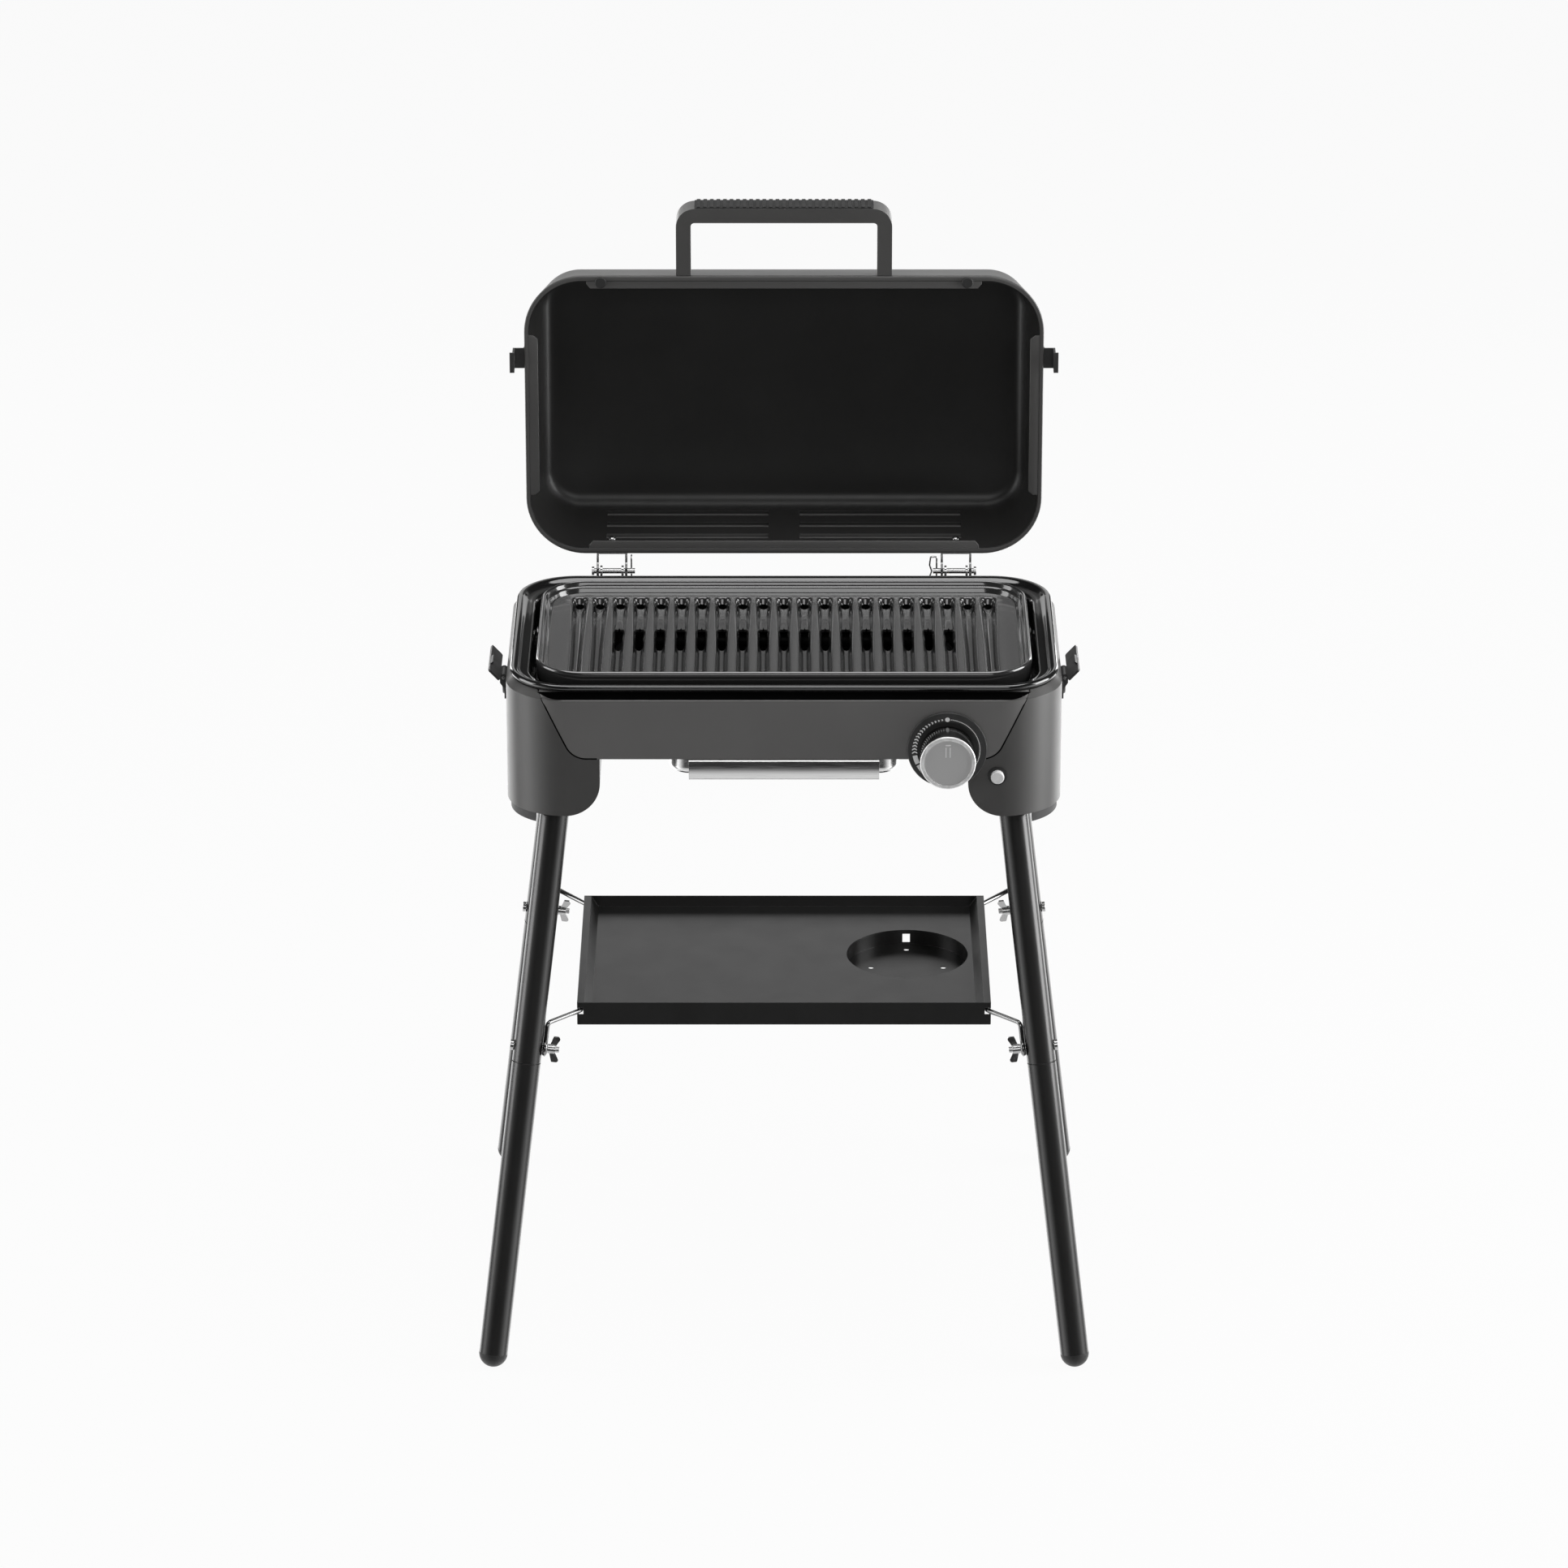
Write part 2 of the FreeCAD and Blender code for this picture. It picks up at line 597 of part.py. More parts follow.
def build_burner():
    """A closed tube loop with an inlet that passes down through the pan."""
    body = new_body("burner_tube")
    spine = sketch_on(body, "XY", burner_z)
    outline(spine, rectangle(burner_half_x, burner_half_y, 40))
    section = sketch_on(body, "YZ")
    circle(section, burner_half_y, burner_z, burner_r)
    pipe = body.newObject("PartDesign::AdditivePipe", "Loop")
    pipe.Profile = section
    pipe.Spine = (spine, [""])
    doc.recompute()
    add(body, "XY", 657, burner_z, ("circle", feed_x, feed_y, burner_r))
    floor = pan_top - pan_depth + pan_sheet
    for low_y in (-burner_half_y - 1, burner_half_y - 1):
        add(body, "XY", floor, burner_z, box(-8, low_y, 8, low_y + 2))
    keep("burner_tube", body)


def build_heat_shield():
    """Sheet under the pan, with a hole over the grease drawer."""
    body = new_body("heat_shield")
    add(body, "XY", 654, 655.5, box(-185, -150, 135, 150, 10))
    cut(body, "XY", 653, 656, ("circle", 0, 0, 22), ("circle", feed_x, feed_y, burner_r + 2))
    keep("heat_shield", body)


def turned(label, *corners):
    body = new_body(label)
    turn(body, *corners)
    return body


def build_gas_parts():
    """Valve behind the dial, its stem and knob, and the pipes from the hose tail to the burner."""
    valve = turned("gas_valve", (4.05, 0), (7, 0), (7, 10), (11, 10), (11, 46), (0, 46), (0, 36),
                   (4.05, 36))
    keep("gas_valve", place(valve, knob_x, -body_half_y + 1, knob_z, TOWARDS_BACK))
    stem = turned("valve_stem", (0, 0), (4, 0), (4, 56), (0, 56))
    keep("valve_stem", place(stem, knob_x, -body_half_y - 30, knob_z, TOWARDS_BACK))
    neck = body_half_y * 2 - 48
    pipe = turned("gas_supply_pipe", (2.5, 0), (4, 0), (4, neck), (7, neck), (7, neck + 4),
                  (11, neck + 4), (11, neck + 10), (4.5, neck + 10), (4.5, neck + 32),
                  (2.5, neck + 32))
    keep("gas_supply_pipe", place(pipe, knob_x, -body_half_y + 47, knob_z, TOWARDS_BACK))
    level = knob_z.number
    behind = -body_half_y.number + 30
    feed = Vector(feed_x.number, feed_y.number, level)
    keep("burner_feed_pipe", rod_piece("burner_feed_pipe", [
        Vector(knob_x.number - 11, behind, level), Vector(feed.x, behind, level),
        feed - Vector(0, burner_r.number, 0)], 12, 3))


def bent_rod(points, bend, radius):
    """A round rod along straight stretches joined by rounded bends."""
    edges = []
    start = points[0]
    for before, corner, after in zip(points, points[1:], points[2:]):
        to_before = (before - corner).normalize()
        to_after = (after - corner).normalize()
        half = to_before.getAngle(to_after) / 2
        enter = corner + to_before * (bend / math.tan(half))
        leave = corner + to_after * (bend / math.tan(half))
        middle = corner + (to_before + to_after).normalize() * (bend / math.sin(half) - bend)
        edges.append(Part.LineSegment(start, enter).toShape())
        edges.append(Part.Arc(enter, middle, leave).toShape())
        start = leave
    edges.append(Part.LineSegment(start, points[-1]).toShape())
    ring = Part.Circle(points[0], points[1] - points[0], radius).toShape()
    return Part.Wire(edges).makePipeShell([Part.Wire([ring])], True, False)


def rod_piece(name, points, bend, radius):
    piece = doc.addObject("Part::Feature", name)
    piece.Shape = bent_rod(points, bend, radius)
    return piece


def build_ignition():
    """Push button with its piezo housing, the spark electrode and the lead between them."""
    depth = 25
    housing = turned("igniter_housing", (button_r + running, 0), (button_r + 2.9, 0),
                     (button_r + 2.9, 4.8), (button_r + 5, 4.8), (button_r + 5, depth), (0, depth),
                     (0, depth - 3), (button_r + running, depth - 3))
    place(housing, button_x, -body_half_y - 1, button_z, TOWARDS_BACK)
    keep("igniter_housing", housing)
    button = turned("igniter_button", (0, 0), (button_r, 0, 1.5), (button_r, 15), (0, 15))
    keep("igniter_button", place(button, button_x, -body_half_y - 6.5, button_z, TOWARDS_BACK))
    electrode = turned("igniter_electrode", (0, 0), (4, 0), (4, 20), (1, 24), (1, 30), (0, 30))
    keep("igniter_electrode", place(electrode, electrode_x, electrode_y, 664, Rotation()))
    rear = -body_half_y.number + 14
    top = button_z.number + button_r.number + 5
    lead = Vector(electrode_x.number + 3.6, electrode_y.number - 4.4, 668)
    keep("igniter_lead", rod_piece("igniter_lead", [
        Vector(button_x.number - 4, rear, top + 0.1), Vector(button_x.number - 4, rear, 668), lead],
        6, 1.5))


def build_dial_and_knob():
    """Dial disc on the front panel, and the push-to-turn knob with its trim ring and cap."""
    dial = turned("knob_bezel", (5, 0), (bezel_r, 0), (bezel_r, 2.6, 1), (knob_r + 3, 3.2),
                  (knob_r + 3, 1), (5, 1))
    keep("knob_bezel", place(dial, knob_x, -body_half_y, knob_z, TOWARDS_COOK))
    rear = -body_half_y - 6.6
    long = rear - knob_front
    grip = turned("knob", (4 + running, 0), (knob_r - 0.5, 0), (knob_r - 0.5, long - 8),
                  (knob_r, long - 7.5), (knob_r, long - 2.2), (knob_r - 4, long - 2.2),
                  (0, long - 2.2), (0, 23.6), (4 + running, 23.6))
    keep("knob", place(grip, knob_x, rear, knob_z, TOWARDS_COOK))
    trim = turned("knob_trim_ring", (knob_r - 4, 0), (knob_r, 0), (knob_r, 2.2, 1.2),
                  (knob_r - 4, 2.2))
    keep("knob_trim_ring", place(trim, knob_x, knob_front + 2.2, knob_z, TOWARDS_COOK))
    cap = turned("knob_cap", (0, 0), (knob_r - 4, 0), (knob_r - 4, 1.2), (0, 1.2))
    keep("knob_cap", place(cap, knob_x, knob_front + 2.2, knob_z, TOWARDS_COOK))


# ---------------------------------------------------------------- grease drawer

def build_drawer():
    """Pressed tray that slides out to the front on two hanging rails."""
    body = new_body("grease_drawer")
    low_y, high_y = drawer_front, drawer_back
    add(body, "XY", drawer_low, drawer_top - 4, box(-drawer_half_x, low_y, drawer_half_x, high_y, 22))
    add(body, "XY", drawer_top - 4, drawer_top - 2.5,
        box(-drawer_half_x - 6, low_y, drawer_half_x + 6, high_y, 10))
    floor = drawer_low + 1.2
    cut(body, "XY", floor, drawer_top,
        box(-drawer_half_x + 1.2, low_y + 1.2, drawer_half_x - 1.2, high_y - 1.2, 20.8))
    round_edges(body, 6.8, lambda b: abs(b.ZMin - floor.number) + abs(b.ZMax - floor.number) < 0.01)
    round_edges(body, 8, lambda b: b.ZMax < drawer_low.number + 0.01)
    keep("grease_drawer", body)
    handle = new_body("drawer_handle")
    add(handle, "YZ", -98, 98,
        [(drawer_front, 641), (drawer_front, 639.5), (drawer_front - 11, 639.5),
         (drawer_front - 14, 626), (drawer_front - 15.5, 626), (drawer_front - 15, 648),
         (drawer_front - 13.5, 648), (drawer_front - 12.5, 641)])
    keep("drawer_handle", handle)
    rail = new_body("drawer_rail")
    near = drawer_half_x + 0.8
    add(rail, "XZ", -148, 148,
        [(near, drawer_top - 5.5), (near, drawer_top - 4.2), (near + 6.2, drawer_top - 4.2),
         (near + 6.2, 654), (near + 7.5, 654), (near + 7.5, drawer_top - 5.5)])
    two_ways("drawer_rails", rail, Vector(1, 0, 0))


# ---------------------------------------------------------------- lid and hinges

def lid_wall(y):
    """Height of the open lid's lower (rear) wall at a distance behind the middle."""
    return lid_low + (as_size(y) - lid_rim_y) * math.tan(math.radians(lid_draft.number))


def lid_plan(inset):
    return box(-lid_half_x + inset, lid_low + inset, lid_half_x - inset,
               lid_low + lid_span - inset, lid_corner - inset)


def lid_block(label, inset, rounding):
    """The lid's rounded block shape, drawn in from its outside by the inset."""
    body = new_body(label)
    back = lid_rim_y + lid_deep - inset
    add(body, "XZ", lid_rim_y, back, lid_plan(inset), taper=lid_draft)
    round_edges(body, rounding, lambda b: b.YMin > back.number - 0.01)
    return body


def louvre_hood(low_x, high_x, start):
    """One hood pressed out of the lid's rear wall."""
    hood = new_body("louvre")
    add(hood, "YZ", low_x, high_x,
        [(start, lid_wall(start)), (start + 12, lid_wall(start + 12)),
         (start + 9, lid_wall(start + 9) - 4.5), (start + 6, lid_wall(start + 6) - 5)])
    return hood


def build_lid():
    """Deep-drawn lid, drawn open: its rim faces the cook and its top is at the back."""
    hollow = doc.addObject("Part::Cut", "lid_hollow")
    hollow.Base = lid_block("lid_outside", as_size(0), lid_round)
    hollow.Tool = lid_block("lid_cavity", lid_sheet, lid_round - lid_sheet)
    flange = new_body("lid_flange")
    rim = lid_rim_y + lid_sheet
    add(flange, "XZ", lid_rim_y, rim, lid_plan(1), lid_plan(6.5))
    wide = 14.5
    mid = lid_low + lid_span / 2
    high = lid_low + lid_span
    add(flange, "XZ", lid_rim_y, rim, box(-208, lid_low + 1, 208, lid_low + wide))
    add(flange, "XZ", lid_rim_y, rim, box(-208, high - wide, 208, high - 1))
    for side in (-1, 1):
        near, far = lid_half_x - wide, lid_half_x - 1
        low, high_x = (near, far) if side > 0 else (-far, -near)
        add(flange, "XZ", lid_rim_y, rim, box(low, mid - 89, high_x, mid + 89))
    shell = doc.addObject("Part::MultiFuse", "lid_shell")
    hoods = [louvre_hood(low_x, high_x, lid_rim_y + 24 + 22 * row)
             for low_x, high_x in ((-194.4, -12.2), (12.2, 194.4)) for row in range(3)]
    shell.Shapes = [hollow, flange] + hoods
    keep("lid_shell", shell)


def build_handle():
    """Bow on the lid's front wall, its grip, and the screws that hold it from inside."""
    top = lid_low + lid_span
    body = new_body("lid_handle")
    low_y, high_y = lid_rim_y, lid_rim_y + handle_wide
    foot = top - 12
    inner = handle_half_x - handle_bar
    add(body, "XZ", low_y, high_y,
        [(-handle_half_x, foot), (-handle_half_x, top + handle_reach, 20),
         (handle_half_x, top + handle_reach, 20), (handle_half_x, foot), (inner, foot),
         (inner, top + handle_reach - handle_bar, 4), (-inner, top + handle_reach - handle_bar, 4),
         (-inner, foot)])
    slope = math.tan(math.radians(lid_draft.number))
    cut(body, "YZ", -handle_half_x - 1, handle_half_x + 1,
        [(low_y - 1, top + slope), (low_y - 1, foot - 2), (high_y + 1, foot - 2),
         (high_y + 1, top - (handle_wide + 1) * slope)])
    keep("lid_handle", body)
    grip = new_body("handle_grip")
    crest = top + handle_reach
    add(grip, "XY", crest, crest + 1, box(-94, low_y + 0.5, 94, high_y - 0.5, 2))
    rib = add(grip, "XY", crest + 1, crest + 2.2, box(-91.7, low_y + 1, -87.7, high_y - 1, 0.8))
    repeat(grip, [rib], "X", 6.9, 27)
    keep("handle_grip", grip)
    screw = turned("handle_screw", (0, 0), (4.5, 0), (4.5, 1, 0.5), (2, 3), (0, 3))
    y = lid_rim_y + 15
    place(screw, handle_half_x - handle_bar / 2, y, top - lid_sheet - slope * 15 - 0.2,
          Rotation(Vector(1, 0, 0), 180 - lid_draft.number))
    two_ways("handle_screws", screw, Vector(1, 0, 0))


def build_hinges():
    """Two lid hinges: ears on the body and on the lid, a removable pin and its clip."""
    base = new_body("hinge_base_bracket")
    face = body_half_y
    half = 11.3
    for x in (hinge_x - half, hinge_x + half):
        add(base, "YZ", x - 1.2, x + 1.2,
            [(face, 692), (hinge_y + 6, 692), (hinge_y + 6, hinge_z + 6, 5.9),
             (hinge_y - 6, hinge_z + 6, 5.9), (hinge_y - 6, 722.6), (face, 719)])
    add(base, "XZ", face, face + 2, box(hinge_x - half, 692, hinge_x + half, 714))
    cut(base, "YZ", hinge_x - 20, hinge_x + 20, ("circle", hinge_y, hinge_z, hinge_pin_r + 0.01))
    two_ways("hinge_base_brackets", base, Vector(1, 0, 0))
    upper = new_body("lid_hinge_bracket")
    reach = 15.2
    for x in (hinge_x - reach, hinge_x + reach):
        add(upper, "YZ", x - 1.2, x + 1.2,
            [(hinge_y - 6, hinge_z - 6, 5.8), (hinge_y + 6, hinge_z - 6, 5.8), (197, 748),
             (197, lid_wall(197)), (176, lid_wall(176)), (175.5, 740), (hinge_y - 6, 736)])
    add(upper, "YZ", hinge_x - reach, hinge_x + reach,
        [(178, lid_wall(178)), (178, lid_wall(178) - 2), (197, lid_wall(197) - 2),
         (197, lid_wall(197))])
    cut(upper, "YZ", hinge_x - 20, hinge_x + 20, ("circle", hinge_y, hinge_z, hinge_pin_r + running))
    two_ways("lid_hinge_brackets", upper, Vector(1, 0, 0))
    pin = new_body("hinge_pin")
    add(pin, "YZ", hinge_x - 24.6, hinge_x + 19, ("circle", hinge_y, hinge_z, hinge_pin_r))
    add(pin, "YZ", hinge_x + 19, hinge_x + 21.5, ("circle", hinge_y, hinge_z, 4.8))
    cut(pin, "XY", hinge_z - 5, hinge_z + 5, ("circle", hinge_x - 20.8, hinge_y, 1.05))
    two_ways("hinge_pins", pin, Vector(1, 0, 0))
    x, y, z = hinge_x.number - 20.8, hinge_y.number, hinge_z.number
    bends = ((0, -8), (0, 16), (6.5, 16), (7.5, 7), (5.2, 0), (7.5, -7))
    clip = rod_piece("hinge_clip_right", [Vector(x - out, y, z + up) for out, up in bends], 1.8, 1)
    left = rod_piece("hinge_clip_left", [Vector(-x, y + out, z + up) for out, up in bends], 1.8, 1)
    group("hinge_clips", [clip, left])
    rivet = turned("hinge_rivet", (0, 0), (4, 0), (3.2, 1.8, 0.8), (0, 2.4))
    place(rivet, hinge_x, 188, lid_wall(188) + lid_sheet + 0.3,
          Rotation(Vector(1, 0, 0), lid_draft.number))
    two_ways("hinge_rivets", rivet, Vector(1, 0, 0))
    bumper = turned("lid_bumper", (0, 0), (6, 0), (6, 2.3, 1), (0, 2.3))
    place(bumper, 193, lid_rim_y, lid_low + lid_span - 7.5, TOWARDS_COOK)
    two_ways("lid_bumpers", bumper, Vector(1, 0, 0))


# ---------------------------------------------------------------- side latches

def build_keepers():
    """Angled strikers on the lid's sides that the latch levers hook over."""
    body = new_body("latch_keeper")
    slope = math.tan(math.radians(lid_draft.number))

    def wall_x(y, off):
        return lid_half_x - (as_size(y) - lid_rim_y) * slope + off

    middle = hinge_z + hinge_y - latch_y
    add(body, "XY", middle - keeper_wide / 2, middle + keeper_wide / 2,
        [(wall_x(177, 0), 177), (284.5, 177), (284.5, 161), (289.4, 161), (289.4, 163), (286.5, 163),
         (286.5, 179), (wall_x(179, 2), 179), (wall_x(190, 2), 190), (wall_x(190, 0), 190)])
    two_ways("latch_keepers", body, Vector(1, 0, 0))


def build_latches():
    """Latch base with its ears, pin and rivet, and the flap-shaped lever, on each side."""
    side = body_half_x
    base = new_body("latch_base")
    add(base, "XZ", latch_y - 14, latch_y + 14, box(side, latch_base_low, side + 3, 700))
    for low in (latch_y - 13, latch_y + 10):
        add(base, "XZ", low, low + 3,
            [(side, 692), (side + 3, 692), (latch_axis_x + 3.8, latch_axis_z - 6),
             (latch_axis_x + 3.8, latch_axis_z + 3.8, 3.7), (side, latch_axis_z + 3.8, 3.7)])
    cut(base, "XZ", latch_y - 14, latch_y + 14, ("circle", latch_axis_x, latch_axis_z, 1.51))
    two_ways("latch_bases", base, Vector(1, 0, 0))
    rivet = turned("latch_rivet", (0, 0), (8, 0), (7, 2.2, 1), (0, 3))
    place(rivet, side + 3, latch_y, latch_base_low + 8.5, TOWARDS_RIGHT)
    two_ways("latch_rivets", rivet, Vector(1, 0, 0))
    pin = new_body("latch_pin")
    add(pin, "XZ", latch_y - 14.5, latch_y + 14.5, ("circle", latch_axis_x, latch_axis_z, 1.5))
    two_ways("latch_pins", pin, Vector(1, 0, 0))
    lever = new_body("right_latch_lever")
    add(lever, "XZ", -9.8, 9.8, ("circle", 0, 0, 3.6))
    add(lever, "XZ", -9.8, 9.8, box(-0.6, 0, 1.8, 6))
    add(lever, "YZ", -0.6, 1.8, box(-flap_front, 4.6, flap_rear, 20.4, 2.5))
    cut(lever, "YZ", 0.6, 1.9, box(-flap_front + 3, 7, flap_rear - 3, 18, 1.5))
    for low in (9, 12, 15):
        add(lever, "YZ", 0.5, 1.8, box(-flap_front + 2.5, low, flap_rear - 2.5, low + 1.2))
    add(lever, "XZ", -keeper_wide / 2, keeper_wide / 2,
        [(-3.4, 18.6), (0, 17.8), (0, 20.2), (-3.4, 19.8)])
    cut(lever, "XZ", -10, 10, ("circle", 0, 0, 1.5 + running))
    place(lever, latch_axis_x, latch_y, latch_axis_z, Rotation(Vector(0, 1, 0), 1))
    bind(lever, "Placement.Rotation.Angle", latch_lean)
    doc.recompute()
    keep("right_latch_lever", lever)
    mirror_copy("left_latch_lever", lever, Vector(1, 0, 0))


# ---------------------------------------------------------------- legs and shelf

LEG_TURN = Rotation(Vector(0, 0, 1),
                    Vector(-leg_lean_x.number, leg_lean_y.number, 1))


def on_leg(piece):
    """Stands a piece, drawn along its own Z axis, on the foot centre of the front right leg."""
    return place(piece, foot_x, -foot_y, leg_r, LEG_TURN)


def leg_point(x, y, along):
    """A point beside the front right leg, given in the leg's own frame."""
    foot = Vector(foot_x.number, -foot_y.number, leg_r.number)
    return foot + LEG_TURN.multVec(Vector(x, y, along))


def quarter_nodes(name, source):
    """The front right piece and its mirror images, each as a node of its own."""
    keep("front_right_" + name, source)
    left = mirror_copy("front_left_" + name, source, Vector(1, 0, 0))
    mirror_copy("rear_right_" + name, source, Vector(0, 1, 0))
    mirror_copy("rear_left_" + name, left, Vector(0, 1, 0))


def build_legs():
    """Tube legs in two halves that plug together, with a rubber foot and a socket in the pod."""
    bore = leg_r - leg_wall
    seam = leg_joint
    lower = turned("front_right_lower_leg", (bore, 0), (leg_r, 0), (leg_r, seam - 0.5),
                   (bore, seam - 0.5))
    quarter_nodes("lower_leg", on_leg(lower))
    foot = new_body("front_right_foot")
    ball = foot.newObject("PartDesign::AdditiveSphere", "Ball")
    bind(ball, "Radius", leg_r)
    doc.recompute()
    cut(foot, "XY", 0, leg_r + 1, ("circle", 0, 0, leg_r + 5))
    add(foot, "XY", 0, 18, ("circle", 0, 0, bore - 0.02))
    quarter_nodes("foot", on_leg(foot))
    upper = turned("upper_leg", (bore, seam + 0.5), (leg_r, seam + 0.5), (leg_r, leg_long),
                   (bore, leg_long))
    cut(upper, "YZ", -leg_r - 2, leg_r + 2, ("circle", 0, bolt_rise, 3.2))
    four_ways("upper_legs", on_leg(upper))
    spigot = turned("leg_spigot", (0, seam - 55), (bore - running, seam - 55, 2),
                    (bore - running, seam + 44), (0, seam + 44))
    cut(spigot, "YZ", -leg_r - 2, leg_r + 2, ("circle", 0, bolt_rise, 3.2))
    four_ways("leg_couplings", on_leg(spigot))
    socket = turned("leg_socket", (leg_r + 0.02, leg_long - 22), (leg_r + 3, leg_long - 22),
                    (leg_r + 3, leg_long + 3), (0, leg_long + 3), (0, leg_long + 0.02),
                    (leg_r + 0.02, leg_long + 0.02))
    four_ways("leg_sockets", on_leg(socket))


def build_shelf():
    """Folded steel shelf with a welded-in cup for a gas cartridge."""
    body = new_body("shelf_tray")
    x, sheet_z = shelf_half_x, shelf_sheet
    right = [(x - 15.5, shelf_floor), (x - 7.5, shelf_lip), (x, shelf_lip), (x, shelf_floor - 3),
             (x - sheet_z, shelf_floor - 3), (x - sheet_z, shelf_lip - sheet_z),
             (x - 6.7, shelf_lip - sheet_z), (x - 14.7, shelf_floor - sheet_z)]
    left = [(-px, pz) for px, pz in reversed(right)]
    add(body, "XZ", -shelf_half_y, shelf_half_y, right + left)
    for low in (-shelf_half_y, shelf_half_y - sheet_z):
        add(body, "XZ", low, low + sheet_z, box(-x, shelf_skirt, x, shelf_lip, 1))
    for side_x in (-x - 1, x - 6.5):
        for side_y in (-shelf_half_y - 1, shelf_half_y - 9):
            cut(body, "XY", shelf_floor - 1.6, shelf_floor + 6,
                box(side_x, side_y, side_x + 7.5, side_y + 10))
    cut(body, "XY", shelf_floor - 3, shelf_floor + 1, ("circle", cup_x, cup_y, cup_r))
    keep("shelf_tray", body)
    cup = new_body("cartridge_cup")
    wall = 1.2
    base = shelf_floor - cup_deep
    under = shelf_floor - sheet_z
    add(cup, "XY", base - wall, under, ("circle", cup_x, cup_y, cup_r + wall))
    add(cup, "XY", under - wall, under, ("circle", cup_x, cup_y, cup_r + 7))
    cut(cup, "XY", base, under + 1, ("circle", cup_x, cup_y, cup_r))
    cut(cup, "XY", base - wall - 1, base + 1, ("circle", cup_x, cup_y + 49, 3),
        ("circle", cup_x - 38.6, cup_y, 3), ("circle", cup_x + 38.6, cup_y, 3))
    cut(cup, "XZ", cup_y + cup_r - 6, cup_y + cup_r + 4, box(cup_x - 4, base + 1.5, cup_x + 4, 350.5))
    keep("cartridge_cup", cup)


def build_shelf_wires():
    """One bent wire under each side lip of the shelf, with an eye at each leg."""
    eye_r = 6
    inner = -leg_r.number - wire_r.number - 0.1
    rise = bolt_rise.number
    bend = leg_point(inner, 0, rise + 27)
    along = Vector(shelf_half_x.number - 4.5, -shelf_half_y.number + 4, shelf_floor.number + 2)
    front = [leg_point(inner, 0, rise + eye_r), bend, along]
    rear = [Vector(point.x, -point.y, point.z) for point in reversed(front)]
    rod = bent_rod(front + rear, 5, wire_r.number)
    axis = LEG_TURN.multVec(Vector(1, 0, 0))
    eye = Part.makeTorus(eye_r, wire_r.number, leg_point(inner, 0, rise), axis)
    rear_eye = eye.mirror(Vector(0, 0, 0), Vector(0, 1, 0))
    piece = doc.addObject("Part::Feature", "shelf_wire")
    piece.Shape = rod.fuse([eye, rear_eye])
    two_ways("shelf_wires", piece, Vector(1, 0, 0))


def build_wing_bolts():
    """Bolt through each leg and the wing nut that clamps the shelf wire's eye to it."""
    bolt = new_body("wing_bolt")
    nut_start = -leg_r - 2 * wire_r - 0.4
    add(bolt, "YZ", nut_start - 12, leg_r + 0.3, ("circle", 0, bolt_rise, 3))
    add(bolt, "YZ", leg_r + 0.3, leg_r + 3.5, ("circle", 0, bolt_rise, 5.5))
    four_ways("wing_bolts", on_leg(bolt))
    nut = new_body("front_right_wing_nut")
    add(nut, "YZ", nut_start - 8, nut_start, ("circle", 0, bolt_rise, 5))
    for side in (-1, 1):
        wing = [(nut_start - 2, bolt_rise + side * 4), (nut_start - 5, bolt_rise + side * 13.5, 1.4),
                (nut_start - 14, bolt_rise + side * 13.5, 2.5), (nut_start - 8, bolt_rise + side * 3)]
        if side < 0:
            wing.reverse()
        add(nut, "XZ", -1.2, 1.2, wing)
    cut(nut, "YZ", nut_start - 9, nut_start + 1, ("circle", 0, bolt_rise, 3 + running))
    quarter_nodes("wing_nut", on_leg(nut))


def build_body_screws():
    """Countersunk screws that hold the fascias to the end shells, from the rear and below."""
    screw = turned("body_screw", (0, 0), (3.5, 0, 0.8), (1.6, 2), (0, 2))
    place(screw, pod_inner_x + 20, -pod_inner_y, pod_low + 32, TOWARDS_BACK)
    four_ways("body_screws", screw)


# ---------------------------------------------------------------- build and write

def build_all():
    build_fascia("front_fascia", True)
    build_fascia("rear_fascia", False)
    build_end_shells()
    build_pod_feet()
    build_drip_pan()
    build_cooking_plate()
    build_burner()
    build_heat_shield()
    build_gas_parts()
    build_ignition()
    build_dial_and_knob()
    build_drawer()
    build_lid()
    build_handle()
    build_hinges()
    build_keepers()
    build_latches()
    build_legs()
    build_shelf()
    build_shelf_wires()
    build_wing_bolts()
    build_body_screws()


def check_and_write():
    """Stops on a failed object or an unsound shape, then writes one file for each sub-part."""
    doc.recompute()
    for obj in doc.Objects:
        if "Invalid" in obj.State or "Error" in obj.State:
            raise RuntimeError(f"{obj.Label} failed: {obj.State}")
    for label, obj in nodes.items():
        if obj.Shape.isNull() or not obj.Shape.isValid() or not obj.Shape.Solids:
            raise RuntimeError(f"{label} has no sound shape")
    os.makedirs("parts", exist_ok=True)
    for label, obj in nodes.items():
        obj.Shape.exportStep(f"parts/{label}.step")


build_all()
check_and_write()
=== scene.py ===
import json
import math

import bmesh
import bpy
from mathutils import Matrix, Vector


